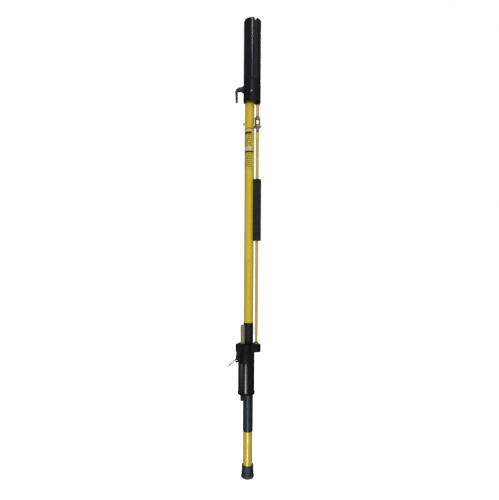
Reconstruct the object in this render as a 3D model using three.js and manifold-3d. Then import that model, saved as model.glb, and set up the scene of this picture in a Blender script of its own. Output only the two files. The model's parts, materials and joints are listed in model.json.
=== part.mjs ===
// Rod-operated clamp stick for reaching live lines: an insulated pole, a sliding handle low down,
// an outside rod, and a hook that the rod pushes out of a notched head.
//
// Millimetres, +Z up. The origin is the middle of the foot's flat face, on the pole's axis.
// -Y is the front, the side that carries the rod and the guide bar.

import * as THREE from 'three';
import { mergeVertices } from 'three/addons/utils/BufferGeometryUtils.js';
import Module from 'manifold-3d';

const wasm = await Module();
wasm.setup();

// ---------------------------------------------------------------- driving dimensions

const GAP = 0.3; // left between pieces that touch
const SIDES = 36; // facets of the large round pieces
const SMALL_SIDES = 16; // facets of rods and pins
const SCREW_SIDES = 8;

const HEIGHT = 1566.5;

const POLE = { radius: 16, wall: 3 };
const FOOT_HEIGHT = 44;
const FOOT_FLOOR = 6;
const SLEEVE_SKIN = 0.6;
const GRIP_SLEEVE = { bottom: 159.5, top: 287, skin: 1.2 };
const TRACK_SLEEVE = { bottom: GRIP_SLEEVE.top + GAP, top: 533.9 };

const HEAD = { x: 7.9, y: -8.2, radius: 29.5, wall: 3, bottom: 1287, seam: 1357 };
const SPIGOT_TOP = HEAD.seam + 12;
const POLE_TOP = HEAD.seam - 3.3;
const NOTCH = { width: 10, depth: 10, firstAngle: 20, count: 4 };

const ROD = { x: 26.7, y: -14.5, radius: 4.75 };
const BAR = { x: -19.1, y: -14.45, halfWidth: 7.4, halfThickness: 3, corner: 3.5, bottom: 267.6, top: 528.1 };

const HANDLE = { x: -6.5, y: -1.5, radius: 28.4, wall: 2.6, bottom: 289, top: 435.4 };
const HANDLE_SEAM_X = 3.9; // of the split between the shells, from the handle's axis
const RING_HEIGHT = 8;
const BUSH = { bottom: HANDLE.bottom + 2.2, top: HANDLE.bottom + 22 };
const BRACKET = { bottom: HANDLE.top + GAP, top: 463.2 };
const SKIRT = { bottom: 397, skin: 1.2, fromAngle: -82, toAngle: 6 };

const LEVER = { x: -39.5, y: -14, z: 408.5, width: 13, tailX: -27.2, tailZ: -22 };
const CHEEK_THICKNESS = 3;
const PLATE = { x: -10.3, y: LEVER.y, z: 416.7, thickness: 3, restTilt: 4, tipX: -27.4 };
const SPRING = { x: -35.2, y: LEVER.y, bottom: 416.9, radius: 2, wire: 0.45, turns: 6 };

const CLEVIS = { bottom: 1196, tongueTop: 1214.5, windowTop: 1229.3, top: 1235.2, pinZ: 1205 };
const ROD_BUSH = { collar: 7.6, spigot: 6.6, bottom: HEAD.bottom - 8, depth: 12 };
const FERRULE = { bottom: 1162.2, top: 1183.6, radius: 6 };
const ROD_GRIP = { bottom: 815, top: 1024.8, radius: 14 };
const CARRIER = { bottom: SPIGOT_TOP + 0.6, height: 16, radius: 26 };

// ---------------------------------------------------------------- colours

const COLOURS = {
  poleYellow: [0xc8ae30, 0.42, 0],
  rodYellow: [0xb49b50, 0.5, 0],
  foam: [0xd9cf9f, 0.9, 0],
  headBlack: [0x212127, 0.3, 0],
  socketBlack: [0x1b1b1f, 0.35, 0],
  bracketBlack: [0x141413, 0.5, 0],
  handleBlack: [0x2b2b2c, 0.25, 0],
  sleeveBlack: [0x222427, 0.6, 0],
  vinyl: [0x3b3d47, 0.5, 0],
  rubber: [0x34353e, 0.7, 0],
  gripFoam: [0x272926, 0.9, 0],
  bronze: [0x9c8450, 0.4, 1],
  brass: [0xb79a58, 0.35, 1],
  steel: [0x9d9a92, 0.35, 1],
  aluminium: [0x8a7d6e, 0.4, 1],
  label: [0xb4a048, 0.55, 0],
  nylon: [0xd8d6cc, 0.6, 0],
};

function piece(name, geometry, colour) {
  const [color, roughness, metalness] = COLOURS[colour];
  const material = new THREE.MeshStandardMaterial({ color, roughness, metalness });
  const mesh = new THREE.Mesh(geometry, material);
  mesh.name = name;
  return mesh;
}

// ---------------------------------------------------------------- joining and cutting

// Indexed positions only, with no triangle that has two equal corners, and faces pointing out.
function closedMesh(geometry) {
  const bare = geometry.clone();
  bare.deleteAttribute('normal');
  bare.deleteAttribute('uv');
  const merged = mergeVertices(bare, 1e-4);
  const place = merged.attributes.position;
  const corner = [new THREE.Vector3(), new THREE.Vector3(), new THREE.Vector3()];
  const triangles = [];
  let sixVolumes = 0;
  for (let i = 0; i < merged.index.count; i += 3) {
    const [a, b, c] = [0, 1, 2].map((k) => merged.index.getX(i + k));
    if (a === b || b === c || c === a) continue;
    triangles.push([a, b, c]);
    [a, b, c].forEach((vertex, k) => corner[k].fromBufferAttribute(place, vertex));
    sixVolumes += corner[0].dot(corner[1].cross(corner[2]));
  }
  const outward = sixVolumes < 0 ? triangles.map(([a, b, c]) => [a, c, b]) : triangles;
  return { positions: new Float32Array(place.array), triangles: new Uint32Array(outward.flat()) };
}

function solid(shape) {
  if (!shape.isBufferGeometry) return shape;
  const { positions, triangles } = closedMesh(shape);
  const mesh = new wasm.Mesh({ numProp: 3, vertProperties: positions, triVerts: triangles });
  return new wasm.Manifold(mesh);
}

function surface(body) {
  const { vertProperties, triVerts } = body.getMesh();
  const geometry = new THREE.BufferGeometry();
  geometry.setAttribute('position', new THREE.BufferAttribute(vertProperties, 3));
  geometry.setIndex(new THREE.BufferAttribute(triVerts, 1));
  geometry.computeVertexNormals();
  return geometry;
}

const join = (...shapes) => shapes.map(solid).reduce((all, next) => all.add(next));
const cut = (body, ...tools) => tools.map(solid).reduce((left, tool) => left.subtract(tool), solid(body));
const common = (...shapes) => shapes.map(solid).reduce((all, next) => all.intersect(next));

// ---------------------------------------------------------------- plain shapes

const radians = THREE.MathUtils.degToRad;

// A turned piece about Z: profile is a list of [radius, z].
function turned(profile, sides = SIDES) {
  const points = profile.map(([radius, z]) => new THREE.Vector2(radius, z));
  return new THREE.LatheGeometry(points, sides).rotateX(Math.PI / 2);
}

function disc(radius, bottom, top, sides = SIDES, x = 0, y = 0) {
  const geometry = new THREE.CylinderGeometry(radius, radius, top - bottom, sides);
  return geometry.rotateX(Math.PI / 2).translate(x, y, (bottom + top) / 2);
}

function pipe(outer, inner, bottom, top, sides = SIDES) {
  const section = [[inner, bottom], [outer, bottom], [outer, top], [inner, top], [inner, bottom]];
  return turned(section, sides);
}

function block([x0, x1], [y0, y1], [z0, z1]) {
  const geometry = new THREE.BoxGeometry(x1 - x0, y1 - y0, z1 - z0);
  return geometry.translate((x0 + x1) / 2, (y0 + y1) / 2, (z0 + z1) / 2);
}

// An outline in X and Y, raised from bottom to top.
function raised(outline, bottom, top, curveSegments = 8) {
  const settings = { depth: top - bottom, bevelEnabled: false, curveSegments };
  return new THREE.ExtrudeGeometry(outline, settings).translate(0, 0, bottom);
}

// An outline in X and Z, drawn out from y = near to y = far.
function sideways(outline, near, far, curveSegments = 8) {
  return raised(outline, -far, -near, curveSegments).rotateX(Math.PI / 2);
}

function rodAlongY(radius, near, far, x = 0, z = 0, sides = SMALL_SIDES) {
  const geometry = new THREE.CylinderGeometry(radius, radius, far - near, sides);
  return geometry.translate(x, (near + far) / 2, z);
}

function rodAlongX(radius, left, right, y = 0, z = 0, sides = SMALL_SIDES) {
  const geometry = new THREE.CylinderGeometry(radius, radius, right - left, sides);
  return geometry.rotateZ(Math.PI / 2).translate((left + right) / 2, y, z);
}

// Two half circles joined by straight sides.
function stadium(ax, ay, bx, by, radius) {
  const angle = Math.atan2(by - ay, bx - ax);
  const outline = new THREE.Shape();
  outline.absarc(bx, by, radius, angle - Math.PI / 2, angle + Math.PI / 2);
  outline.absarc(ax, ay, radius, angle + Math.PI / 2, angle + 1.5 * Math.PI);
  return outline;
}

// The room of the flat guide bar, grown all round, seen from an axis at x and y.
function barRoom(grow, bottom, top, x = 0, y = 0) {
  const reach = BAR.halfWidth - BAR.halfThickness;
  const [left, right] = [BAR.x - x - reach, BAR.x - x + reach];
  return raised(stadium(left, BAR.y - y, right, BAR.y - y, BAR.halfThickness + grow), bottom, top);
}

// Part of a ring about Z, between two angles counted from the front towards +X.
function ringSector(outer, inner, fromAngle, toAngle, bottom, top, curveSegments = 10) {
  const start = radians(fromAngle - 90);
  const end = radians(toAngle - 90);
  const outline = new THREE.Shape();
  outline.absarc(0, 0, outer, start, end, false);
  outline.absarc(0, 0, inner, end, start, true);
  return raised(outline, bottom, top, curveSegments);
}

function hexagon(corner, hole, bottom, top) {
  return surface(cut(disc(corner, bottom, top, 6), disc(hole, bottom - 1, top + 1, SMALL_SIDES)));
}

// A screw whose head's outer face is at z = 0, with a round socket, pointing down -Z.
function screw({ head, headHeight, shank, length }, sides = SCREW_SIDES) {
  const socket = head * 0.45;
  return turned([
    [0, -length], [shank, -length], [shank, -headHeight], [head, -headHeight], [head, -0.3],
    [head - 0.3, 0], [socket, 0], [socket, -headHeight * 0.6], [0, -headHeight * 0.6],
  ], sides);
}

// Turns a piece that points down -Z so that it points inwards, at an angle counted from the front.
function pointInwards(geometry, angle, distance, z) {
  geometry.rotateX(Math.PI / 2).translate(0, -distance, 0);
  return geometry.rotateZ(radians(angle)).translate(0, 0, z);
}

// ---------------------------------------------------------------- pole

function pole() {
  const group = new THREE.Group();
  const bore = POLE.radius - POLE.wall;
  const filling = bore - GAP;
  const bottom = FOOT_FLOOR + GAP;

  const studHole = rodAlongX(2.3, -POLE.radius - 2, -bore + 2, 0, STUD.z, SCREW_SIDES);
  const boltHole = rodAlongY(HEAD_BOLT.hole, -40, 40, HEAD_BOLT.x, HEAD_BOLT.z);
  const tube = cut(pipe(POLE.radius, bore, bottom, POLE_TOP), studHole, boltHole, ...saddleScrewHoles());
  group.add(piece('pole_tube', surface(tube), 'poleYellow'));

  const bottomPlug = disc(filling, bottom + 0.7, 40, SMALL_SIDES);
  const core = disc(filling, 40 + GAP, PLUG_BOTTOM - GAP, SMALL_SIDES);
  const topPlug = cut(disc(filling, PLUG_BOTTOM, POLE_TOP - 0.5, SMALL_SIDES), boltHole);
  group.add(piece('tube_bottom_plug', bottomPlug, 'nylon'));
  group.add(piece('foam_core', core, 'foam'));
  group.add(piece('tube_top_plug', surface(topPlug), 'nylon'));

  group.add(piece('foot_cap', footCap(), 'rubber'));
  group.add(piece('grip_sleeve', gripSleeve(), 'vinyl'));

  const trackInner = POLE.radius + 0.2;
  const track = pipe(trackInner + SLEEVE_SKIN, trackInner, TRACK_SLEEVE.bottom, TRACK_SLEEVE.top);
  group.add(piece('track_sleeve', surface(cut(track, ...saddleScrewHoles())), 'sleeveBlack'));

  for (const { name, bottom: low, top: high } of LABELS) {
    const sector = ringSector(POLE.radius + 0.5, POLE.radius + 0.25, -129, 51, low, high);
    group.add(piece(name, sector, 'label'));
  }
  group.add(piece('tube_stud', tubeStud(), 'brass'));
  return group;
}

const LABELS = [
  { name: 'label_upper', bottom: 1117.4, top: 1202.3 },
  { name: 'label_lower', bottom: 1063, top: 1114.4 },
];
const STUD = { z: 1218, reach: 5.3, radius: 6 };
const HEAD_BOLT = { x: 6.5, z: 1318, radius: 3, hole: 3.3 };
const PLUG_BOTTOM = HEAD.bottom + 2;

function footCap() {
  const bore = POLE.radius + GAP;
  const wall = 20.4;
  const ring = 22.6;
  const bead = 21.2;
  return turned([
    [0, 0], [18.6, 0], [ring - 0.7, 2.2], [ring, 3.8], [ring, 8], [ring - 0.7, 9.4], [wall, 11.5],
    [wall, 15.5], [bead, 16.5], [bead, 19], [wall, 20], [wall, FOOT_HEIGHT - 1.5],
    [wall - 1, FOOT_HEIGHT], [bore, FOOT_HEIGHT], [bore, FOOT_FLOOR], [0, FOOT_FLOOR],
  ]);
}

function gripSleeve() {
  const inner = POLE.radius + 0.2;
  const outer = inner + GRIP_SLEEVE.skin;
  const { bottom, top } = GRIP_SLEEVE;
  return turned([
    [inner, bottom], [outer - 0.5, bottom], [outer, bottom + 1.5], [outer, top - 0.5],
    [outer - 0.4, top], [inner, top], [inner, bottom],
  ]);
}

// A button-headed stud on the pole's left side, its foot shaped to the tube.
function tubeStud() {
  const start = POLE.radius - POLE.wall + 0.2;
  const face = POLE.radius + STUD.reach;
  const stud = turned([
    [0, start], [2, start], [2, POLE.radius - 1.4], [STUD.radius, POLE.radius - 1.4],
    [STUD.radius, POLE.radius + 1.6], [3.4, POLE.radius + 2.2], [3.4, face - 2.2],
    [STUD.radius - 0.6, face - 1.7], [STUD.radius - 0.6, face - 0.5], [STUD.radius - 1.4, face],
    [0, face],
  ], SCREW_SIDES);
  const turnedLeft = stud.rotateY(-Math.PI / 2).translate(0, 0, STUD.z);
  const room = disc(POLE.radius + 0.25, STUD.z - 20, STUD.z + 20);
  const shank = rodAlongX(2, -POLE.radius - 1, -start, 0, STUD.z, SCREW_SIDES);
  return surface(join(cut(turnedLeft, room), shank));
}

// ---------------------------------------------------------------- guide bar and its saddle

const SADDLE = { bottom: 382, top: 407, screws: [387, 402] };
const BAR_ANGLE = THREE.MathUtils.radToDeg(Math.atan2(BAR.x, -BAR.y)); // from the front
const BAR_DISTANCE = Math.hypot(BAR.x, BAR.y); // from the pole's axis
const SADDLE_SCREW = { head: 2.6, headHeight: 1.6, shank: 1.5, length: 11.5 };

function saddleScrewHoles() {
  return SADDLE.screws.map((z) => {
    const hole = disc(SADDLE_SCREW.shank + GAP, -BAR_DISTANCE, 8, SCREW_SIDES);
    return pointInwards(hole, BAR_ANGLE, BAR_DISTANCE, z);
  });
}

function guideRail() {
  const group = new THREE.Group();
  const { bottom, top, corner } = BAR;
  const [left, right] = [BAR.x - BAR.halfWidth - 0.1, BAR.x + BAR.halfWidth + 0.1];
  const front = new THREE.Shape();
  front.moveTo(left + corner, bottom);
  front.lineTo(right - corner, bottom);
  front.quadraticCurveTo(right, bottom, right, bottom + corner);
  front.lineTo(right, top - corner);
  front.quadraticCurveTo(right, top, right - corner, top);
  front.lineTo(left + corner, top);
  front.quadraticCurveTo(left, top, left, top - corner);
  front.lineTo(left, bottom + corner);
  front.quadraticCurveTo(left, bottom, left + corner, bottom);
  const bar = common(barRoom(0, bottom - 1, top + 1), sideways(front, BAR.y - 10, BAR.y + 10, 4));
  const outerFace = BAR_DISTANCE + 1.2;
  const seats = SADDLE.screws.map((z) => {
    const seat = disc(SADDLE_SCREW.head + GAP, -SADDLE_SCREW.headHeight - GAP, 8, SMALL_SIDES);
    return pointInwards(seat, BAR_ANGLE, outerFace, z);
  });
  group.add(piece('guide_bar', surface(cut(bar, ...saddleScrewHoles(), ...seats)), 'aluminium'));

  const cheek = 3.4;
  const arm = block([-cheek, cheek], [-BAR_DISTANCE, -POLE.radius], [SADDLE.bottom, SADDLE.top]);
  arm.rotateZ(radians(BAR_ANGLE));
  const foot = ringSector(POLE.radius + 3, POLE.radius, BAR_ANGLE - 36, BAR_ANGLE + 2,
    SADDLE.bottom, SADDLE.top);
  const sleeveRoom = disc(POLE.radius + 0.2 + SLEEVE_SKIN + GAP, SADDLE.bottom - 5, SADDLE.top + 5);
  const saddle = cut(join(arm, foot), sleeveRoom, barRoom(GAP, SADDLE.bottom - 5, SADDLE.top + 5),
    ...saddleScrewHoles());
  group.add(piece('bar_saddle', surface(saddle), 'aluminium'));

  ['saddle_screw_lower', 'saddle_screw_upper'].forEach((name, i) => {
    const fixing = pointInwards(screw(SADDLE_SCREW), BAR_ANGLE, outerFace, SADDLE.screws[i]);
    group.add(piece(name, fixing, 'steel'));
  });
  return group;
}

// ---------------------------------------------------------------- head, about its own axis

const POLE_IN_HEAD = [-HEAD.x, -HEAD.y];
const ROD_IN_HEAD = [ROD.x - HEAD.x, ROD.y - HEAD.y];
const ROD_HOLE = ROD.radius + GAP;
const BARREL_SCREW = { head: 3, headHeight: 1.2, shank: 1.5, length: 9 };
const BARREL_SCREW_ANGLES = [100, 180, 260];
const BARREL_SCREW_Z = HEAD.seam + 6;
const DRIP_SLOPE = 17; // degrees by which the back half of the head's underside rises
const BOLT_FACE = -HEAD.radius - 0.8;
const NUT_FACE = HEAD.radius - 2.2;
const HOOK_SCREW = { head: 2.5, headHeight: 3, shank: 1.5 };
const HOOK_SCREW_TIP = -HEAD.radius + 4.8;
const HOOK = { thickness: 13, seat: 1327.5, tip: 1290, reach: 28.3, finger: 9.2, tipWidth: 7.6 };
const HOOK_SCREWS = [
  { name: 'hook_screw_lower', y: -2.6, z: HOOK.seat + 3, outerFace: -54.6 },
  { name: 'hook_screw_upper', y: 2.6, z: HOOK.seat + 8.6, outerFace: -45 },
];

function barrelScrewHoles() {
  return BARREL_SCREW_ANGLES.map((angle) => {
    const hole = disc(BARREL_SCREW.shank + GAP, -12, 5, SCREW_SIDES);
    return pointInwards(hole, angle, HEAD.radius, BARREL_SCREW_Z);
  });
}

function hookScrewHoles() {
  const end = HOOK_SCREW_TIP + GAP;
  return HOOK_SCREWS.map(({ y, z }) => rodAlongX(HOOK_SCREW.shank + GAP, -80, end, y, z, SCREW_SIDES));
}

function headSocket() {
  const { radius, bottom, seam } = HEAD;
  const body = turned([
    [0, bottom], [radius - 1.2, bottom], [radius, bottom + 1.2], [radius, seam],
    [radius - HEAD.wall - GAP, seam], [radius - HEAD.wall - GAP, SPIGOT_TOP], [0, SPIGOT_TOP],
  ]);
  const poleBore = disc(POLE.radius + GAP, bottom - 1, POLE_TOP + GAP, SIDES, ...POLE_IN_HEAD);
  const rodBore = disc(ROD_HOLE, bottom - 1, SPIGOT_TOP + 1, SMALL_SIDES, ...ROD_IN_HEAD);
  const bushTop = bottom + ROD_BUSH.depth + GAP;
  const bushBore = disc(ROD_BUSH.spigot + GAP, bottom - 1, bushTop, SMALL_SIDES, ...ROD_IN_HEAD);
  const drip = block([-40, 40], [0, 60], [-30, 0]).rotateX(radians(DRIP_SLOPE)).translate(0, 0, bottom);
  const boltX = HEAD_BOLT.x - HEAD.x;
  const boltHole = rodAlongY(HEAD_BOLT.hole, -40, 40, boltX, HEAD_BOLT.z);
  const headSeat = rodAlongY(5, -40, BOLT_FACE + 2, boltX, HEAD_BOLT.z);
  const nutSeat = rodAlongY(6.4, NUT_FACE - GAP, 40, boltX, HEAD_BOLT.z);
  return surface(cut(body, poleBore, rodBore, bushBore, drip, boltHole, headSeat, nutSeat,
    ...barrelScrewHoles(), ...hookScrewHoles()));
}

// The flanged bush that the operating rod runs through, pressed in under the socket.
function rodGuideBush() {
  const { collar, spigot, bottom, depth } = ROD_BUSH;
  const flange = HEAD.bottom - GAP;
  return turned([
    [ROD_HOLE, bottom], [collar - 0.8, bottom], [collar, bottom + 0.8], [collar, flange], [spigot, flange],
    [spigot, HEAD.bottom + depth], [ROD_HOLE, HEAD.bottom + depth], [ROD_HOLE, bottom],
  ], SMALL_SIDES).translate(...ROD_IN_HEAD, 0);
}

function headBarrel() {
  const { radius, wall, seam } = HEAD;
  const body = turned([
    [radius - wall, seam + GAP], [radius, seam + GAP], [radius, HEIGHT - 0.8],
    [radius - 0.8, HEIGHT], [radius - wall, HEIGHT], [radius - wall, seam + GAP],
  ]);
  const halfWidth = NOTCH.width / 2;
  const above = 2;
  const spread = (halfWidth * (NOTCH.depth + above)) / NOTCH.depth;
  const vee = new THREE.Shape([
    new THREE.Vector2(0, HEIGHT - NOTCH.depth),
    new THREE.Vector2(spread, HEIGHT + above),
    new THREE.Vector2(-spread, HEIGHT + above),
  ]);
  const notches = Array.from({ length: NOTCH.count }, (_, i) => {
    const angle = NOTCH.firstAngle + (i * 360) / NOTCH.count;
    return sideways(vee, -radius - 5, -5).rotateZ(radians(angle));
  });
  const seats = BARREL_SCREW_ANGLES.map((angle) => {
    const seat = disc(BARREL_SCREW.head + GAP, -BARREL_SCREW.headHeight - GAP, 5, SMALL_SIDES);
    return pointInwards(seat, angle, radius - 0.2, BARREL_SCREW_Z);
  });
  return surface(cut(body, ...notches, ...seats, ...barrelScrewHoles()));
}

// The hanging hook: a thick bridge from the head's left side, turned down into a tapered finger.
function hangerHook() {
  const { seat, tip, reach, finger, tipWidth } = HOOK;
  const root = -HEAD.radius + 5;
  const side = -HEAD.radius;
  const outer = side - reach;
  const inner = outer + finger;
  const round = 2.4;
  const outline = new THREE.Shape();
  outline.moveTo(root, seat - 10);
  outline.lineTo(side, seat - 7.5);
  outline.quadraticCurveTo(side - 6, seat, side - 9, seat);
  outline.lineTo(inner + 4.5, seat);
  outline.quadraticCurveTo(inner, seat, inner, seat - 6);
  outline.lineTo(inner, tip + round);
  outline.quadraticCurveTo(inner, tip, inner - round, tip);
  outline.lineTo(inner - tipWidth + round, tip);
  outline.quadraticCurveTo(inner - tipWidth, tip, inner - tipWidth, tip + round);
  outline.lineTo(outer, seat - 2.5);
  outline.quadraticCurveTo(outer + 0.5, seat + 6.5, outer + 12, seat + 12.5);
  outline.quadraticCurveTo(outer + 21, seat + 13, side, seat + 18);
  outline.lineTo(root, seat + 19.5);
  const half = HOOK.thickness / 2;
  const body = sideways(outline, -half, half, 8);
  const saddle = disc(HEAD.radius + GAP, HEAD.bottom - 10, HEAD.seam + 10);
  const seats = HOOK_SCREWS.map(({ y, z, outerFace }) => {
    const floor = outerFace + HOOK_SCREW.headHeight + GAP;
    return rodAlongX(HOOK_SCREW.head + GAP, -80, floor, y, z);
  });
  return surface(cut(body, saddle, ...seats, ...hookScrewHoles()));
}

function head() {
  const group = new THREE.Group();
  group.position.set(HEAD.x, HEAD.y, 0);
  group.add(piece('head_socket', headSocket(), 'socketBlack'));
  group.add(piece('rod_guide_bush', rodGuideBush(), 'socketBlack'));
  group.add(piece('head_barrel', headBarrel(), 'headBlack'));
  group.add(piece('hanger_hook', hangerHook(), 'headBlack'));

  BARREL_SCREW_ANGLES.forEach((angle, i) => {
    const fixing = pointInwards(screw(BARREL_SCREW), angle, HEAD.radius - 0.2, BARREL_SCREW_Z);
    group.add(piece(`barrel_screw_${i + 1}`, fixing, 'steel'));
  });
  for (const { name, y, z, outerFace } of HOOK_SCREWS) {
    const fixing = screw({ ...HOOK_SCREW, length: HOOK_SCREW_TIP - outerFace });
    group.add(piece(name, fixing.rotateY(-Math.PI / 2).translate(outerFace, y, z), 'steel'));
  }

  const boltX = HEAD_BOLT.x - HEAD.x;
  const bolt = turned([
    [0, -59.2], [2.7, -59.2], [HEAD_BOLT.radius, -58.2], [HEAD_BOLT.radius, -2], [4.5, -2], [4.5, -1],
    [3.4, -0.3], [0, 0],
  ], SMALL_SIDES).rotateX(Math.PI / 2).translate(boltX, BOLT_FACE, HEAD_BOLT.z);
  const nut = hexagon(5.8, HEAD_BOLT.hole, -3.4, 0);
  nut.rotateX(Math.PI / 2).translate(boltX, NUT_FACE, HEAD_BOLT.z);
  group.add(piece('head_bolt', bolt, 'steel'));
  group.add(piece('head_nut', nut, 'steel'));
  return group;
}

// ---------------------------------------------------------------- hook carrier and clamp hook

const CARRIER_TOP = CARRIER.bottom + CARRIER.height;
const THREAD_RADIUS = 3.5;
const SHANK_RADIUS = 5;

function hookCarrier() {
  const body = turned([
    [0, CARRIER.bottom], [CARRIER.radius - 0.8, CARRIER.bottom], [CARRIER.radius, CARRIER.bottom + 0.8],
    [CARRIER.radius, CARRIER_TOP - 0.8], [CARRIER.radius - 0.8, CARRIER_TOP], [0, CARRIER_TOP],
  ]);
  const shankHole = disc(SHANK_RADIUS + GAP, CARRIER.bottom - 1, CARRIER_TOP + 1, SMALL_SIDES);
  const rodHole = disc(THREAD_RADIUS + GAP, CARRIER.bottom - 1, CARRIER_TOP + 1, SMALL_SIDES,
    ...ROD_IN_HEAD);
  return surface(cut(body, shankHole, rodHole));
}

// A round bar bent once sideways and then over into a hook, to lie wholly inside the barrel.
function clampHook() {
  const bend = 12;
  const crown = HEIGHT - 3.6;
  const archZ = crown - SHANK_RADIUS - bend;
  const offset = -11.5;
  const start = CARRIER.bottom;
  const at = (x, z) => new THREE.Vector3(x, 0, z);
  const overhead = [];
  for (let step = 1; step <= 12; step += 1) {
    const turn = (Math.PI * step) / 12;
    overhead.push(at(offset + bend - bend * Math.cos(turn), archZ + bend * Math.sin(turn)));
  }
  const tip = at(offset + 2 * bend, archZ - 15);
  const points = [
    at(0, start), at(0, archZ - 64), at(-1.2, archZ - 57), at(-5.75, archZ - 46),
    at(-10.3, archZ - 35), at(offset, archZ - 28), at(offset, archZ - 14), at(offset, archZ),
    ...overhead, tip,
  ];
  const spine = new THREE.CatmullRomCurve3(points, false, 'centripetal');
  const section = new THREE.Shape();
  section.absarc(0, 0, SHANK_RADIUS, 0, 2 * Math.PI);
  const settings = { steps: 40, extrudePath: spine, curveSegments: 5, bevelEnabled: false };
  return new THREE.ExtrudeGeometry(section, settings);
}

function hookInBarrel() {
  const group = new THREE.Group();
  group.position.set(HEAD.x, HEAD.y, 0);
  group.add(piece('hook_carrier', hookCarrier(), 'nylon'));
  group.add(piece('clamp_hook', clampHook(), 'bronze'));
  const nut = hexagon(9, SHANK_RADIUS + GAP, CARRIER_TOP + GAP, CARRIER_TOP + 7.3);
  group.add(piece('hook_nut', nut, 'bronze'));
  return group;
}

// ---------------------------------------------------------------- operating rod, about its own axis

const BRACKET_SOCKET = BRACKET.bottom + 4; // floor of the rod's blind hole in the bracket

function operatingRod() {
  const group = new THREE.Group();
  group.position.set(ROD.x, ROD.y, 0);

  const rodTop = FERRULE.top - 2;
  const lower = turned([
    [0, BRACKET_SOCKET + GAP], [ROD.radius, BRACKET_SOCKET + GAP], [ROD.radius, rodTop], [2.8, rodTop],
    [2.8, rodTop - 16], [0, rodTop - 16],
  ], SMALL_SIDES);
  group.add(piece('operating_rod_lower', lower, 'rodYellow'));
  const lockNut = hexagon(8.4, ROD_HOLE, BRACKET.top + GAP, BRACKET.top + 7);
  group.add(piece('rod_lock_nut', lockNut, 'bronze'));

  const { bottom, top, radius } = ROD_GRIP;
  const grip = turned([
    [ROD_HOLE, bottom], [radius - 1, bottom], [radius, bottom + 1], [radius, top - 1],
    [radius - 1, top], [ROD_HOLE, top], [ROD_HOLE, bottom],
  ]);
  group.add(piece('rod_grip', grip, 'gripFoam'));

  const ferrule = pipe(FERRULE.radius, ROD_HOLE, FERRULE.bottom, FERRULE.top, SMALL_SIDES);
  group.add(piece('rod_ferrule', ferrule, 'poleYellow'));
  addClevis(group, rodTop);

  const shoulder = CARRIER.bottom - 0.9;
  const end = CARRIER_TOP + 8;
  const upper = turned([
    [0, CLEVIS.windowTop + 0.2], [ROD.radius, CLEVIS.windowTop + 0.2], [ROD.radius, shoulder],
    [THREAD_RADIUS, shoulder + 0.6], [THREAD_RADIUS, end - 0.6], [THREAD_RADIUS - 0.6, end], [0, end],
  ], SMALL_SIDES);
  group.add(piece('operating_rod_upper', upper, 'rodYellow'));
  const forkNut = hexagon(6.4, ROD_HOLE, CLEVIS.top + GAP, CLEVIS.top + 5.3);
  group.add(piece('fork_lock_nut', forkNut, 'bronze'));
  const carrierNut = hexagon(5.2, THREAD_RADIUS + GAP, CARRIER_TOP + GAP, CARRIER_TOP + 6);
  group.add(piece('carrier_nut', carrierNut, 'steel'));
  return group;
}

// The coupling between the two rods: an eye on the lower one in a fork on the upper one.
function addClevis(group, rodTop) {
  const half = 9.7;
  const depth = 6;
  const tongue = 5;
  const { bottom, top, windowTop, tongueTop, pinZ } = CLEVIS;
  const pinHole = rodAlongX(2.7, -20, 20, 0, pinZ);

  const arms = cut(
    block([-half, half], [-depth, depth], [pinZ, top]),
    block([-tongue - GAP, tongue + GAP], [-10, 10], [pinZ - 10, windowTop]),
  );
  const rounds = cut(
    rodAlongX(depth, -half, half, 0, pinZ, SMALL_SIDES),
    block([-tongue - GAP, tongue + GAP], [-10, 10], [pinZ - 10, pinZ + 10]),
  );
  const rodHole = disc(ROD_HOLE, windowTop - 1, top + 1, SMALL_SIDES);
  group.add(piece('clevis_fork', surface(cut(join(arms, rounds), rodHole, pinHole)), 'bronze'));

  const neck = FERRULE.top + GAP;
  const eye = join(
    block([-tongue, tongue], [-depth + 0.4, depth - 0.4], [bottom - 1.6, tongueTop - 3.5]),
    rodAlongX(depth - 0.4, -tongue, tongue, 0, tongueTop - depth + 0.4),
    disc(ROD.radius + 0.4, neck, bottom, SMALL_SIDES),
    disc(2.5, rodTop - 15, neck + 2, SCREW_SIDES),
  );
  group.add(piece('clevis_eye', surface(cut(eye, pinHole)), 'bronze'));

  const pin = turned([
    [0, -half - 2.2], [3.6, -half - 2.2], [4, -half - 1.8], [4, -half - GAP], [2.4, -half - GAP],
    [2.4, half + 2], [0, half + 2],
  ], SMALL_SIDES).rotateY(Math.PI / 2).translate(0, 0, pinZ);
  group.add(piece('clevis_pin', pin, 'steel'));
  const clip = pipe(4, 2.65, half + GAP, half + 1.2, SMALL_SIDES);
  group.add(piece('clevis_clip', clip.rotateY(Math.PI / 2).translate(0, 0, pinZ), 'steel'));
}

// ---------------------------------------------------------------- sliding handle, about its own axis

const HANDLE_BORE = HANDLE.radius - HANDLE.wall;
const POLE_IN_HANDLE = [-HANDLE.x, -HANDLE.y];
const SLIDE_HOLE = POLE.radius + 0.2 + SLEEVE_SKIN + GAP; // runs on the track sleeve
const SHELL_SCREW = { head: 3, headHeight: 1.2, shank: 1.4, length: 6 };
const SHELL_SCREWS = [
  { name: 'handle_screw_1', angle: 195, z: BUSH.top - 6 },
  { name: 'handle_screw_2', angle: 155, z: BUSH.top - 6 },
  { name: 'handle_screw_3', angle: 195, z: HANDLE.top - 6 },
  { name: 'handle_screw_4', angle: 155, z: HANDLE.top - 6 },
];

const shellScrewHoles = () => SHELL_SCREWS.map(({ angle, z }) => {
  const hole = disc(SHELL_SCREW.shank + GAP, -7, 5, SCREW_SIDES);
  return pointInwards(hole, angle, HANDLE.radius, z);
});

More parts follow.
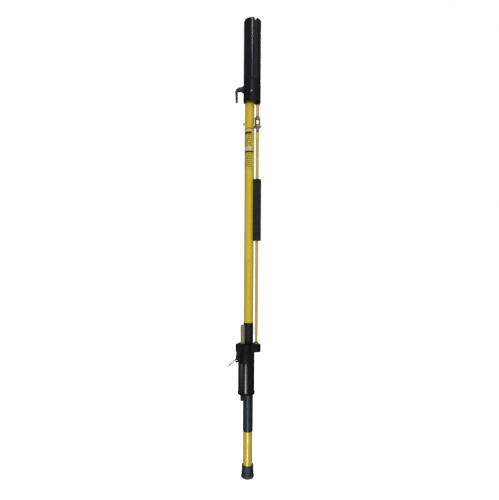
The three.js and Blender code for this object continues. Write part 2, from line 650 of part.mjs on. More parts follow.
const shellScrewSeats = () => SHELL_SCREWS.map(({ angle, z }) => {
  const seat = disc(SHELL_SCREW.head + GAP, -SHELL_SCREW.headHeight - GAP, 5, SMALL_SIDES);
  return pointInwards(seat, angle, HANDLE.radius - 0.2, z);
});

// The openings that the pole and the guide bar run through, in the handle's own coordinates.
function slideHoles(bottom, top) {
  return [
    disc(SLIDE_HOLE, bottom, top, SIDES, ...POLE_IN_HANDLE),
    barRoom(GAP, bottom, top, HANDLE.x, HANDLE.y),
  ];
}

function handleShell(side) {
  const bottom = HANDLE.bottom + 1.8;
  const wall = pipe(HANDLE.radius, HANDLE_BORE, bottom, HANDLE.top);
  const seam = GAP / 2;
  const keep = side === 'left' ? [-40, HANDLE_SEAM_X - seam] : [HANDLE_SEAM_X + seam, 40];
  const half = block(keep, [-40, 40], [bottom - 1, HANDLE.top + 1]);
  const tail = LEVER.width / 2;
  const slotY = LEVER.y - HANDLE.y;
  const plateSlot = block([-40, -17], [slotY - tail, slotY + tail],
    [PLATE.z - 8.5, PLATE.z + 4]);
  return surface(cut(common(wall, half), plateSlot, ...shellScrewSeats(), ...shellScrewHoles()));
}

function handleRing() {
  const { bottom, radius } = HANDLE;
  const outer = radius + 1.3;
  const bore = HANDLE_BORE + 0.1;
  return turned([
    [bore, bottom], [outer - 0.8, bottom], [outer, bottom + 0.8], [outer, bottom + RING_HEIGHT - 1],
    [outer - 0.8, bottom + RING_HEIGHT], [radius + GAP, bottom + RING_HEIGHT], [radius + GAP, bottom + 1.5],
    [bore, bottom + 1.5], [bore, bottom],
  ]);
}

function handleBush() {
  const body = disc(HANDLE_BORE - GAP, BUSH.bottom, BUSH.top);
  const holes = slideHoles(BUSH.bottom - 1, BUSH.top + 1);
  return surface(cut(body, ...holes, ...shellScrewHoles()));
}

function slideHandle() {
  const group = new THREE.Group();
  group.position.set(HANDLE.x, HANDLE.y, 0);
  group.add(piece('handle_shell_left', handleShell('left'), 'handleBlack'));
  group.add(piece('handle_shell_right', handleShell('right'), 'handleBlack'));
  group.add(piece('handle_end_ring', handleRing(), 'bracketBlack'));
  group.add(piece('handle_bush', handleBush(), 'nylon'));
  group.add(piece('slide_bracket', slideBracket(), 'bracketBlack'));
  for (const { name, angle, z } of SHELL_SCREWS) {
    const fixing = pointInwards(screw(SHELL_SCREW), angle, HANDLE.radius - 0.2, z);
    group.add(piece(name, fixing, 'steel'));
  }
  return group;
}

// The block on top of the handle: it carries the rod on its right and the lever on its left.
function slideBracket() {
  const { bottom, top } = BRACKET;
  const [poleX, poleY] = POLE_IN_HANDLE;
  const rodX = ROD.x - HANDLE.x;
  const rodY = ROD.y - HANDLE.y;
  const leverX = LEVER.x - HANDLE.x;
  const leverY = LEVER.y - HANDLE.y;

  const hub = disc(HANDLE.radius + 0.4, bottom, top);
  const rodLobe = raised(stadium(poleX + 2, poleY - 9, rodX + 1.4, rodY, 14.5), bottom, top);
  const leverLobe = raised(stadium(0, leverY, leverX + 5.8, leverY, 10), bottom, top);

  const near = leverY - LEVER.width / 2 - GAP;
  const far = leverY + LEVER.width / 2 + GAP;
  const cheek = new THREE.Shape();
  cheek.moveTo(leverX - 1, bottom + 1);
  cheek.lineTo(leverX - 4.4, LEVER.z);
  cheek.absarc(leverX, LEVER.z - 4, 4.6, Math.PI, 1.9 * Math.PI, false);
  cheek.lineTo(leverX + 5.6, bottom + 1);
  const shellRoom = disc(HANDLE.radius + GAP, SKIRT.bottom - 10, bottom);
  const cheeks = [
    cut(sideways(cheek, near - CHEEK_THICKNESS, near), shellRoom),
    cut(sideways(cheek, far, far + CHEEK_THICKNESS), shellRoom),
  ];
  const skirt = ringSector(HANDLE.radius + GAP + SKIRT.skin, HANDLE.radius + GAP,
    SKIRT.fromAngle, SKIRT.toAngle, SKIRT.bottom, bottom + 1, 9);
  const leverRoom = block([leverX - 9, leverX + 14], [near, far], [SKIRT.bottom - 2, bottom]);

  // Inside the handle: a lug for the shell screws and the post that holds the lock plate's end.
  const lugSpace = block([-12, 14.5], [12, 30], [bottom - 13, bottom + 1]);
  const lug = common(disc(HANDLE_BORE - GAP, bottom - 13, bottom + 1), lugSpace);
  const postX = PLATE.x - HANDLE.x;
  const postY = PLATE.y - HANDLE.y;
  const post = block([postX - 2.2, postX + 4.3], [postY - 10.4, postY - 5.2], [PLATE.z - 5.5, bottom + 1]);
  const notch = block([postX - 3, postX + 2], [postY - 12, postY],
    [PLATE.z - PLATE.thickness / 2 - 0.6, PLATE.z + PLATE.thickness / 2 + 0.6]);

  const body = join(hub, rodLobe, leverLobe, ...cheeks, cut(skirt, leverRoom), lug, post);
  const rodSocket = disc(ROD_HOLE, BRACKET_SOCKET, top + 1, SMALL_SIDES, rodX, rodY);
  const pinHole = rodAlongY(2.3, near - 10, far + 10, leverX, LEVER.z);
  return surface(cut(body, notch, rodSocket, pinHole,
    ...slideHoles(PLATE.z - 30, top + 1), ...shellScrewHoles()));
}

// ---------------------------------------------------------------- release lever and lock plate

function leverPivot() {
  const group = new THREE.Group();
  group.position.set(LEVER.x, LEVER.y, LEVER.z);
  const outer = LEVER.width / 2 + GAP + CHEEK_THICKNESS;
  const pin = turned([
    [0, -outer - 2.4], [2, -outer - 2.4], [2, outer + GAP], [3.4, outer + GAP],
    [3.4, outer + 1.2], [2.6, outer + 1.7], [0, outer + 1.7],
  ], SMALL_SIDES).rotateX(Math.PI / 2);
  const clip = pipe(3.4, 2.25, -outer - 1.3, -outer - GAP, SMALL_SIDES).rotateX(Math.PI / 2);
  group.add(piece('lever_pin', pin, 'steel'));
  group.add(piece('lever_clip', clip, 'steel'));
  return group;
}

// The tail that the thumb squeezes, the hub, and the nose that lifts the lock plate.
function releaseLever() {
  const { tailX, tailZ, width } = LEVER;
  const hub = 3.9;
  const nose = { x: 4.1, z: 2.3, radius: 2 };
  const tail = new THREE.Shape();
  tail.moveTo(-2.6, 2.7);
  tail.quadraticCurveTo(-12, -4.5, tailX - 1.6, tailZ + 1.6);
  tail.absarc(tailX, tailZ, 2.2, 0.75 * Math.PI, 1.75 * Math.PI, false);
  tail.quadraticCurveTo(-12, -12.5, 1.2, -3.4);
  const half = width / 2;
  const body = join(
    sideways(tail, -half, half),
    rodAlongY(hub, -half, half),
    sideways(stadium(0, 0, nose.x, nose.z, nose.radius), -4, 4),
  );
  const mesh = piece('release_lever', surface(cut(body, rodAlongY(2.3, -20, 20))), 'aluminium');
  mesh.position.set(LEVER.x, LEVER.y, LEVER.z);
  return mesh;
}

// A plate round the guide bar, tilted so that its hole bites; its origin is the fulcrum.
function lockPlate() {
  const half = PLATE.thickness / 2;
  const handleAxis = [HANDLE.x - PLATE.x, HANDLE.y - PLATE.y];
  const blade = common(
    block([-18.4, 1.6], [-9.8, 10], [-half, half]),
    disc(HANDLE_BORE - 0.6, -half, half, SIDES, ...handleAxis),
  );
  const tongue = block([PLATE.tipX, -11.7], [-6, 5.5], [-half, half]);
  const poleRoom = disc(SLIDE_HOLE + 0.3, -5, 5, SIDES, -PLATE.x, -PLATE.y);
  const barHole = barRoom(0.5, -5, 5, PLATE.x, PLATE.y);
  const mesh = piece('lock_plate', surface(cut(join(blade, tongue), poleRoom, barHole)), 'steel');
  mesh.position.set(PLATE.x, PLATE.y, PLATE.z);
  mesh.rotation.y = radians(-PLATE.restTilt);
  return mesh;
}

// A small compression spring between the bracket and the lock plate's tail.
function lockSpring() {
  const { wire, turns, radius, bottom } = SPRING;
  const top = BRACKET.bottom - GAP - wire - bottom;
  const steps = turns * 6;
  const points = Array.from({ length: steps + 1 }, (_, step) => {
    const share = step / steps;
    const angle = 2 * Math.PI * turns * share;
    const z = wire + (top - wire) * share;
    return new THREE.Vector3(radius * Math.cos(angle), radius * Math.sin(angle), z);
  });
  const section = new THREE.Shape();
  section.absarc(0, 0, wire, 0, 2 * Math.PI);
  const extrudePath = new THREE.CatmullRomCurve3(points);
  const settings = { steps, extrudePath, curveSegments: 3, bevelEnabled: false };
  const mesh = piece('lock_spring', new THREE.ExtrudeGeometry(section, settings), 'steel');
  mesh.position.set(SPRING.x, SPRING.y, bottom);
  return mesh;
}

// ---------------------------------------------------------------- the whole stick

const stick = new THREE.Group();
stick.add(pole(), guideRail(), head());
stick.add(slideHandle(), operatingRod(), hookInBarrel(), leverPivot(), lockSpring());
stick.add(releaseLever(), lockPlate());

export default stick;
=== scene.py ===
"""The looks of a rod-operated clamp stick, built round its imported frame.

Lengths are in millimetres in the frame's own axes: +Z up the pole, -Y its front. Each refined piece takes
its place from the box of the CAD node that it stands for, and is scaled to metres at the end.
"""

import json
import math

import bmesh
import bpy
from mathutils import Matrix, Vector


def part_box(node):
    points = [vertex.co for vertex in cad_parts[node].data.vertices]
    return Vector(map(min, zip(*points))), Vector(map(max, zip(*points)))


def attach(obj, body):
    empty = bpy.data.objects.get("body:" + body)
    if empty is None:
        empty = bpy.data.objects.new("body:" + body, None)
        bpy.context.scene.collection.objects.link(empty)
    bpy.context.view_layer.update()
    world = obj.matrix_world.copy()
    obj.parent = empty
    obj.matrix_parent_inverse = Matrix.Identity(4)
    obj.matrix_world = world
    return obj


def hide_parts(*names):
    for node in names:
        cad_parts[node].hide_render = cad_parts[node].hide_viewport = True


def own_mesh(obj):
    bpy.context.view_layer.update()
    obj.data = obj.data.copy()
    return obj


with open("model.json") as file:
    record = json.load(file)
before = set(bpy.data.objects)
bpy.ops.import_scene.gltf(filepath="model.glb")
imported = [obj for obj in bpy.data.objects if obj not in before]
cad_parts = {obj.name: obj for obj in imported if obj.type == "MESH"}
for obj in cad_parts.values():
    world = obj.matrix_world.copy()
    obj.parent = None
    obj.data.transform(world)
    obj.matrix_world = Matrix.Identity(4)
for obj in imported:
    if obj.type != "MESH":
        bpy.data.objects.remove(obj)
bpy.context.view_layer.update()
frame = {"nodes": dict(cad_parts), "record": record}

MM = 0.001  # metres in a millimetre
GAP = 0.3  # between pieces that touch
CRISP = 32  # degrees from which an edge stays crisp
FINE = "_fine"  # ends the name of a piece that stands for the CAD node of the rest of its name
RECORD = frame["record"]
BODY_OF = {node: body for body, nodes in RECORD["behaviour"]["bodies"].items() for node in nodes}
SLOT_OF = {part["node"]: part["material_slot"] for part in RECORD["subparts"]}


class Box:
    """A CAD node's box at rest."""

    def __init__(self, node):
        low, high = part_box(node)
        self.left, self.front, self.bottom = (value / MM for value in low)
        self.right, self.back, self.top = (value / MM for value in high)
        self.x = (self.left + self.right) / 2
        self.y = (self.front + self.back) / 2
        self.z = (self.bottom + self.top) / 2
        self.radius = (self.back - self.front) / 2
        self.height = self.top - self.bottom


# ---- outlines


def rounded(corners, closed=True, steps=4):
    """The outline through corners, each (a, b) or (a, b, r), where r is how far its rounding reaches."""
    outline = []
    for i, corner in enumerate(corners):
        here = Vector(corner[:2])
        if len(corner) < 3 or (not closed and i in (0, len(corners) - 1)):
            outline.append(here)
            continue
        reach = corner[2]
        start = here + (Vector(corners[i - 1][:2]) - here).normalized() * reach
        end = here + (Vector(corners[(i + 1) % len(corners)][:2]) - here).normalized() * reach
        for step in range(steps + 1):
            share = step / steps
            outline.append(start.lerp(here, share).lerp(here.lerp(end, share), share))
    return outline


def path(start, *moves, steps=10):
    """An outline of lines, each given by its end, and curves, each given by its control point and its end."""
    outline = [Vector(start)]
    for move in moves:
        if isinstance(move[0], (int, float)):
            outline.append(Vector(move))
            continue
        begin, control, end = outline[-1], Vector(move[0]), Vector(move[1])
        for step in range(1, steps + 1):
            share = step / steps
            outline.append(begin.lerp(control, share).lerp(control.lerp(end, share), share))
    return outline


def arc(x, y, radius, start, end, steps=24):
    """Points on a circle, from one angle to another in degrees, counted from +X."""
    turns = [math.radians(start + (end - start) * step / steps) for step in range(steps + 1)]
    return [Vector((x + radius * math.cos(turn), y + radius * math.sin(turn))) for turn in turns]


def stadium(a, b, radius):
    """Two half circles joined by straight sides, round the points a and b."""
    heading = math.degrees(math.atan2(b[1] - a[1], b[0] - a[0]))
    ahead = arc(*b, radius, heading - 90, heading + 90)
    return ahead + arc(*a, radius, heading + 90, heading + 270)


def sector(outer, inner, start, end, steps=48):
    """Part of a ring about the origin, between two angles counted from the front towards +X."""
    return arc(0, 0, outer, start - 90, end - 90, steps) + arc(0, 0, inner, end - 90, start - 90, steps)


def thread(radius, low, high, pitch=1.25, depth=0.45):
    """A thread's corners for a turned profile, from low to high."""
    count = int((high - low) / pitch)
    corners = []
    for turn in range(count):
        z = low + turn * pitch
        corners += [(radius - depth, z), (radius - depth * 0.1, z + pitch * 0.45)]
    return corners


# ---- meshes


def new_object(name, bm):
    """An object named after the CAD node that it stands for."""
    bmesh.ops.recalc_face_normals(bm, faces=bm.faces)
    mesh = bpy.data.meshes.new(name)
    bm.to_mesh(mesh)
    bm.free()
    made = bpy.data.objects.new(name + FINE, mesh)
    bpy.context.scene.collection.objects.link(made)
    return made


def bake(piece):
    """Applies the piece's modifiers."""
    bpy.context.view_layer.update()
    graph = bpy.context.evaluated_depsgraph_get()
    mesh = bpy.data.meshes.new_from_object(piece.evaluated_get(graph))
    piece.modifiers.clear()
    spare = piece.data
    piece.data = mesh
    bpy.data.meshes.remove(spare)
    return piece


def lathe(name, corners, x=0, y=0, sides=96, wobble=None, longest=None):
    """A piece turned about Z, from (radius, z) corners: from axis to axis, or round a ring's section."""
    ring_shaped = all(corner[0] > 0 for corner in corners)
    outline = rounded(corners, closed=ring_shaped)
    if longest:
        fine = []
        following = outline[1:] + outline[:1] if ring_shaped else outline[1:]
        for here, there in zip(outline, following):
            parts = max(1, round((there - here).length / longest))
            fine += [here.lerp(there, part / parts) for part in range(parts)]
        outline = fine if ring_shaped else fine + outline[-1:]
    bm = bmesh.new()
    rings = []
    for radius, z in outline:
        if radius < 1e-6:
            rings.append([bm.verts.new((x, y, z))])
            continue
        ring = []
        for side in range(sides):
            turn = 2 * math.pi * side / sides
            reach = radius + (wobble(turn, z) if wobble else 0)
            ring.append(bm.verts.new((x + reach * math.sin(turn), y - reach * math.cos(turn), z)))
        rings.append(ring)
    for low, high in zip(rings, rings[1:] + rings[:1] if ring_shaped else rings[1:]):
        for side in range(sides):
            after = side + 1
            around = [low[side % len(low)], low[after % len(low) if after < sides else 0]]
            around += [high[after % len(high) if after < sides else 0], high[side % len(high)]]
            distinct = list(dict.fromkeys(around))
            if len(distinct) > 2:
                bm.faces.new(distinct)
    return new_object(name, bm)


def prism(name, outline, low, high, edge=0.0):
    """An outline in X and Y raised from z = low to high, its two rims rounded by edge."""
    bm = bmesh.new()
    floor = [bm.verts.new((point[0], point[1], low)) for point in outline]
    roof = [bm.verts.new((point[0], point[1], high)) for point in outline]
    bm.faces.new(floor)
    bm.faces.new(reversed(roof))
    for i in range(len(floor)):
        j = (i + 1) % len(floor)
        bm.faces.new((floor[i], roof[i], roof[j], floor[j]))
    bmesh.ops.recalc_face_normals(bm, faces=bm.faces)
    if edge:
        rims = [e for e in bm.edges if abs(e.verts[0].co.z - e.verts[1].co.z) < 1e-6]
        bmesh.ops.bevel(bm, geom=rims, offset=edge, segments=3, profile=0.5, affect="EDGES")
    return new_object(name, bm)


def swept(name, spine, radius, sides=24, dome=0.0):
    """A round bar along the points of a spine, its ends domed by that length."""
    frames = []
    normal = Vector((0, 1, 0))
    for i, point in enumerate(spine):
        ahead = (spine[min(i + 1, len(spine) - 1)] - spine[max(i - 1, 0)]).normalized()
        normal = (normal - ahead * normal.dot(ahead)).normalized()
        frames.append((point, ahead, normal))
    rings = [(*frames[0], -dome * math.cos(t), math.sin(t)) for t in (0.35, 0.7, 1.05, 1.3)] if dome else []
    rings += [(*section, 0.0, 1.0) for section in frames]
    rings += [(*frames[-1], dome * math.cos(t), math.sin(t)) for t in (1.3, 1.05, 0.7, 0.35)] if dome else []
    bm = bmesh.new()
    loops = []
    for point, ahead, normal, shift, share in rings:
        across = ahead.cross(normal)
        centre = point + ahead * shift
        turns = [2 * math.pi * side / sides for side in range(sides)]
        loops.append([
            bm.verts.new(centre + (normal * math.cos(turn) + across * math.sin(turn)) * radius * share)
            for turn in turns
        ])
    for low, high in zip(loops, loops[1:]):
        for i in range(sides):
            j = (i + 1) % sides
            bm.faces.new((low[i], low[j], high[j], high[i]))
    bm.faces.new(loops[0])
    bm.faces.new(reversed(loops[-1]))
    return new_object(name, bm)


def moved(piece, *matrices):
    """Applies matrices to the piece's mesh, the first one first."""
    for matrix in matrices:
        piece.data.transform(matrix)
    return piece


def shift(x=0, y=0, z=0):
    return Matrix.Translation((x, y, z))


TO_FRONT = Matrix.Rotation(math.pi / 2, 4, "X")  # +Z to -Y, and +Y to +Z
TO_LEFT = Matrix.Rotation(-math.pi / 2, 4, "Y")  # +Z to -X
TO_RIGHT = Matrix.Rotation(math.pi / 2, 4, "Y")  # +Z to +X
FACING_RIGHT = Matrix(((0, 0, 1, 0), (1, 0, 0, 0), (0, 1, 0, 0), (0, 0, 0, 1)))  # X to Y, Y to Z, Z to X


def sideways(name, outline, near, far, edge=0.0):
    """An outline in X and Z, drawn out from y = near to y = far."""
    return moved(prism(name, outline, -far, -near, edge), TO_FRONT)


def endways(name, outline, left, right, edge=0.0):
    """An outline in Y and Z, drawn out from x = left to x = right."""
    return moved(prism(name, outline, left, right, edge), FACING_RIGHT)


def block(xs, ys, zs):
    """A plain box, to cut with or to join."""
    outline = [(xs[0], ys[0]), (xs[1], ys[0]), (xs[1], ys[1]), (xs[0], ys[1])]
    return prism("block", outline, *zs)


def drill(radius, low, high, x=0, y=0, sides=48):
    """A plain cylinder along Z, to cut with or to join."""
    return lathe("drill", [(0, low), (radius, low), (radius, high), (0, high)], x, y, sides)


def cut(piece, *tools):
    """Takes the tools away from the piece."""
    for tool in tools:
        change = piece.modifiers.new("cut", "BOOLEAN")
        change.object = tool
        change.operation = "DIFFERENCE"
        change.solver = "EXACT"
        change.use_self = True
    bake(piece)
    for tool in tools:
        bpy.data.objects.remove(tool)
    return piece


def common(piece, tool):
    """Keeps what lies in the piece and in the tool."""
    change = piece.modifiers.new("common", "BOOLEAN")
    change.object = tool
    change.operation = "INTERSECT"
    change.solver = "EXACT"
    bake(piece)
    bpy.data.objects.remove(tool)
    return piece


def gathered(piece, *others):
    """Puts overlapping closed parts into one mesh, for cut() and moulded() to make into one body."""
    bm = bmesh.new()
    bm.from_mesh(piece.data)
    for other in others:
        bm.from_mesh(other.data)
        bpy.data.objects.remove(other)
    bm.to_mesh(piece.data)
    bm.free()
    return piece


def moulded(piece, grid, rounds):
    """Makes the piece one skin on a grid that fine and rounds its edges, as a casting's are."""
    skin = piece.modifiers.new("skin", "REMESH")
    skin.mode = "VOXEL"
    skin.voxel_size = grid
    soft = piece.modifiers.new("soft", "SMOOTH")
    soft.factor = 0.5
    soft.iterations = rounds
    return bake(piece)


# ---- placing a piece

finishes = {}


def sized(piece, sharp=CRISP):
    """Scales the piece to metres. Edges that turn by more than sharp degrees stay crisp."""
    piece.data.transform(Matrix.Scale(MM, 4))
    piece.data.shade_smooth()
    if sharp:
        piece.data.set_sharp_from_angle(angle=math.radians(sharp))


def belong(piece, slot, body):
    """Gives the piece its material slot, with that slot's finish, and its body."""
    piece.data.materials.clear()
    piece.data.materials.append(finishes[slot])
    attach(piece, body)


def stand_for(piece, sharp=CRISP):
    """Makes the piece the visible stand-in for the CAD node that it is named after."""
    node = piece.name.removesuffix(FINE)
    sized(piece, sharp)
    if sharp:
        even = piece.modifiers.new("even", "WEIGHTED_NORMAL")
        even.keep_sharp = True
        bake(piece)
    belong(piece, SLOT_OF[node], BODY_OF[node])
    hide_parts(node)
    return piece


# ---- finishes


def linear(red, green, blue):
    """A screen colour, each part 0 to 255, as the linear colour that shaders take."""
    parts = [value / 255 for value in (red, green, blue)]
    return (*(p / 12.92 if p <= 0.04045 else ((p + 0.055) / 1.055) ** 2.4 for p in parts), 1.0)


class Finish:
    """A material, with short ways to make its nodes. Lengths in its textures are in millimetres."""

    def __init__(self, name, **uniform):
        self.name = name
        self.material = bpy.data.materials.new(name)
        self.material.use_nodes = True
        tree = self.material.node_tree
        self.nodes, self.links = tree.nodes, tree.links
        self.shader = next(n for n in self.nodes if n.type == "BSDF_PRINCIPLED")
        for socket, value in uniform.items():
            self.shader.inputs[socket.replace("_", " ")].default_value = value
        metres = self.nodes.new("ShaderNodeTexCoord").outputs["Object"]
        self.place = self.node("VectorMath", {0: metres, "Scale": 1 / MM}, operation="SCALE").outputs[0]
        self.relief = None

    def node(self, kind, inputs, **settings):
        made = self.nodes.new("ShaderNode" + kind)
        for name, value in settings.items():
            setattr(made, name, value)
        for name, value in inputs.items():
            if isinstance(value, bpy.types.NodeSocket):
                self.links.new(value, made.inputs[name])
            else:
                made.inputs[name].default_value = value
        return made

    def maths(self, operation, first, second=0.0):
        return self.node("Math", {0: first, 1: second}, operation=operation).outputs[0]

    def noise(self, size, along=(1, 1, 1), detail=3.0):
        """Noise whose lumps are about size across, drawn out along each axis by that many times."""
        scale = [1 / (size * times) for times in along]
        place = self.node("Mapping", {"Vector": self.place, "Scale": scale}).outputs[0]
        return self.node("TexNoise", {"Vector": place, "Scale": 1.0, "Detail": detail}).outputs["Fac"]

    def ranged(self, value, low, high, start=0.0, end=1.0):
        limits = {"Value": value, "From Min": low, "From Max": high, "To Min": start, "To Max": end}
        return self.node("MapRange", limits).outputs["Result"]

    def tinted(self, share, first, second):
        """The first colour where share is 0 and the second where it is 1: each an output or 0 to 255."""
        first, second = (linear(*part) if isinstance(part, tuple) else part for part in (first, second))
        mix = self.node("Mix", {0: share, 6: first, 7: second}, data_type="RGBA")
        return mix.outputs[2]

    def axes(self):
        split = self.node("SeparateXYZ", {0: self.place})
        return split.outputs[0], split.outputs[1], split.outputs[2]

    def within(self, value, low, high):
        """1 where value lies between low and high."""
        above = self.maths("GREATER_THAN", value, low)
        return self.maths("MULTIPLY", above, self.maths("LESS_THAN", value, high))

    def worn(self, colour, rubbed, amount=0.4):
        """The colour, lighter on the ridges of a finely meshed piece."""
        ridge = self.ranged(self.node("NewGeometry", {}).outputs["Pointiness"], 0.56, 0.68)
        patchy = self.maths("MULTIPLY", ridge, self.ranged(self.noise(4), 0.35, 0.65, 0, amount))
        return self.tinted(patchy, colour, rubbed)

    def raise_by(self, height, depth, strength=1.0):
        """Adds a relief of that depth."""
        bump = {"Height": height, "Distance": depth * MM, "Strength": strength}
        if self.relief:
            bump["Normal"] = self.relief
        self.relief = self.node("Bump", bump).outputs[0]

    def done(self, colour, roughness):
        """Joins up the shader and keeps the material as its slot's finish."""
        self.links.new(colour, self.shader.inputs["Base Color"])
        self.links.new(roughness, self.shader.inputs["Roughness"])
        if self.relief:
            self.links.new(self.relief, self.shader.inputs["Normal"])
        finishes[self.name] = self.material


def fibreglass(name, light, dark, deep, gloss):
    """Resin over drawn fibres: long streaks, a faint wound cross pattern, handling marks."""
    f = Finish(name, Coat_Weight=0.35, Coat_Roughness=0.12, IOR=1.5)
    streak = f.noise(0.9, (1, 1, 90), 4)
    broad = f.noise(14, (1, 1, 5), 2)
    x, y, z = f.axes()
    turn = f.maths("ARCTAN2", x, y)
    wound = [f.maths("SINE", f.maths("ADD", f.maths("MULTIPLY", z, 0.55), f.maths("MULTIPLY", turn, n)))
             for n in (9.0, -9.0)]
    weave = f.ranged(f.maths("MAXIMUM", *wound), 0.2, 1.0)
    colour = f.tinted(f.ranged(streak, 0.3, 0.7), light, dark)
    colour = f.tinted(f.maths("MULTIPLY", weave, 0.16), colour, dark)
    colour = f.tinted(f.ranged(broad, 0.45, 0.75, 0, 0.35), colour, deep)
    marks = f.ranged(f.noise(2.2, (5, 5, 1), 5), 0.66, 0.72, 0, 0.4)
    colour = f.tinted(marks, colour, deep)
    f.raise_by(streak, 0.05, 0.5)
    f.raise_by(weave, 0.03, 0.3)
    f.done(colour, f.ranged(f.noise(9), 0.3, 0.7, gloss - 0.06, gloss + 0.1))


def black_plastic(name, light, dark, gloss, grain=0.5, depth=0.006, rubbed=(58, 58, 62), **uniform):
    """Moulded plastic with a fine grain, wipe marks in its gloss and paler rubbed edges."""
    f = Finish(name, **uniform)
    colour = f.tinted(f.ranged(f.noise(22, (1, 1, 2)), 0.35, 0.7), dark, light)
    colour = f.worn(colour, rubbed)
    scratch = f.ranged(f.noise(0.8, (1, 1, 40), 2), 0.7, 0.76, 0, 0.1)
    colour = f.tinted(scratch, colour, rubbed)
    f.raise_by(f.noise(grain, (1, 1, 1), 4), depth)
    wiped = f.ranged(f.noise(30, (1, 1, 3), 5), 0.3, 0.7, gloss - 0.05, gloss + 0.08)
    f.done(colour, f.maths("ADD", wiped, f.maths("MULTIPLY", scratch, 0.3)))


def rubber(name, light, dark, gloss, grain, depth, dust=None, **uniform):
    """Soft or fine-grained plastic, with dust where asked: below one height, thickest at another."""
    f = Finish(name, **uniform)
    colour = f.tinted(f.ranged(f.noise(18), 0.3, 0.7), dark, light)
    colour = f.tinted(f.ranged(f.noise(grain * 1.5), 0.45, 0.8, 0, 0.3), colour, dark)
    if dust:
        low, high, tint = dust
        height = f.axes()[2]
        clumps = f.ranged(f.noise(3, detail=6), 0.4, 0.7, 0.1, 0.8)
        colour = f.tinted(f.maths("MULTIPLY", f.ranged(height, high, low), clumps), colour, tint)
    f.raise_by(f.noise(grain, (1, 1, 1), 5), depth)
    f.done(colour, f.ranged(f.noise(12), 0.3, 0.7, gloss - 0.06, gloss + 0.08))


def open_foam(name, light, dark):
    """Closed-cell foam: a skin of small pores, darkened inside as painted shade."""
    f = Finish(name)
    pores = f.node("TexVoronoi", {"Vector": f.place, "Scale": 1.1, "Randomness": 1.0}).outputs["Distance"]
    pore_depth_and_shade = f.ranged(pores, 0.1, 0.45)
    # painted shade: the pores are darkened; the same mask also sinks them as relief
    colour = f.tinted(pore_depth_and_shade, dark, light)
    colour = f.tinted(f.ranged(f.noise(16), 0.4, 0.7, 0, 0.5), colour, dark)
    f.raise_by(pore_depth_and_shade, 0.12, 0.6)
    f.raise_by(f.noise(5), 0.25, 0.4)
    f.done(colour, f.ranged(f.noise(3), 0.3, 0.7, 0.82, 0.95))


def metal(name, light, dark, gloss, metallic=1.0, tarnish=None, painted_shade_x=None):
    """Bare metal with its tool marks, a darker tarnish in patches and hollows, and a painted shade: a brown
    left side that starts at the x of the last argument and deepens to its left."""
    f = Finish(name, Metallic=metallic)
    line = f.noise(0.25, detail=4)
    colour = f.tinted(f.ranged(line, 0.3, 0.7), dark, light)
    if tarnish:
        hollow = f.ranged(f.node("NewGeometry", {}).outputs["Pointiness"], 0.5, 0.44, 0, 0.8)
        patch = f.maths("MAXIMUM", hollow, f.ranged(f.noise(4, detail=5), 0.45, 0.6, 0, 0.85))
        colour = f.tinted(patch, colour, tarnish)
    # painted shade: the metal left of that x is darkened brown as if it lay in shade
    if painted_shade_x is not None:
        share = f.ranged(f.axes()[0], painted_shade_x, painted_shade_x - 4, 0, 0.85)
        colour = f.tinted(share, colour, (86, 64, 22))
    f.raise_by(line, 0.03, 0.6)
    f.done(colour, f.ranged(f.noise(3, detail=5), 0.3, 0.7, gloss - 0.08, gloss + 0.12))


def make_finishes():
    fibreglass("pole_fibreglass", (214, 186, 44), (200, 170, 38), (176, 150, 44), 0.34)
    fibreglass("rod_fibreglass", (198, 171, 92), (178, 151, 78), (146, 119, 58), 0.4)
    black_plastic("head_black", (27, 27, 32), (20, 20, 25), 0.2)
    black_plastic("socket_black", (20, 20, 24), (15, 15, 18), 0.34, depth=0.012)
    black_plastic(
        "bracket_black", (12, 12, 11), (8, 8, 7), 0.5, grain=0.8, depth=0.04, rubbed=(34, 33, 30),
        Specular_IOR_Level=0.12)
    black_plastic("handle_black", (21, 22, 23), (15, 16, 16), 0.2)
    rubber("track_sleeve_black", (25, 26, 29), (19, 20, 22), 0.6, 0.7, 0.04, Specular_IOR_Level=0.25)
    rubber("grip_vinyl", (38, 42, 56), (30, 34, 46), 0.38, 1.6, 0.03, Specular_IOR_Level=0.2)
    rubber(
        "foot_rubber", (42, 44, 56), (32, 34, 44), 0.6, 0.8, 0.05, dust=(0, 16, (70, 69, 68)),
        Specular_IOR_Level=0.25)
    open_foam("grip_foam", (34, 36, 35), (20, 21, 20))
    open_foam("core_foam", (222, 212, 166), (190, 176, 126))
    rubber("plug_nylon", (214, 210, 198), (192, 187, 172), 0.5, 0.6, 0.04)
    # the bronze's last argument is where its painted shade starts, just left of the clevis fork's middle
    metal("bronze", (192, 170, 132), (150, 126, 88), 0.4, 0.45, (92, 66, 30), Box("clevis_fork").x - 0.5)
    metal("stud_brass", (222, 196, 116), (204, 174, 92), 0.36, 0.3, (150, 120, 56))
    metal("steel", (178, 176, 170), (140, 138, 132), 0.32)
    bar_metal()
    lever_metal()
    label_film()


def bar_metal():
    """The guide bar: dull tan metal with wear lines along it, greyer and darker at its lower end, where that
    darkening is painted shade.
    """
    f = Finish("bar_metal", Metallic=0.35)
    bar = Box("guide_bar")
    line = f.noise(0.3, (1, 1, 60), 4)
    colour = f.tinted(f.ranged(line, 0.3, 0.7), (110, 98, 72), (132, 119, 92))
    # painted shade: the lower end is darkened towards (34, 35, 38); the same mask also makes it rougher
    low = f.ranged(f.axes()[2], bar.bottom + 90, bar.bottom + 20)
    colour = f.tinted(low, colour, (34, 35, 38))
    colour = f.tinted(f.ranged(f.noise(5, (1, 1, 3), 5), 0.5, 0.7, 0, 0.4), colour, (98, 86, 62))
    f.raise_by(line, 0.04, 0.6)
    f.done(colour, f.maths("MAXIMUM", low, f.ranged(f.noise(6), 0.3, 0.7, 0.4, 0.56)))


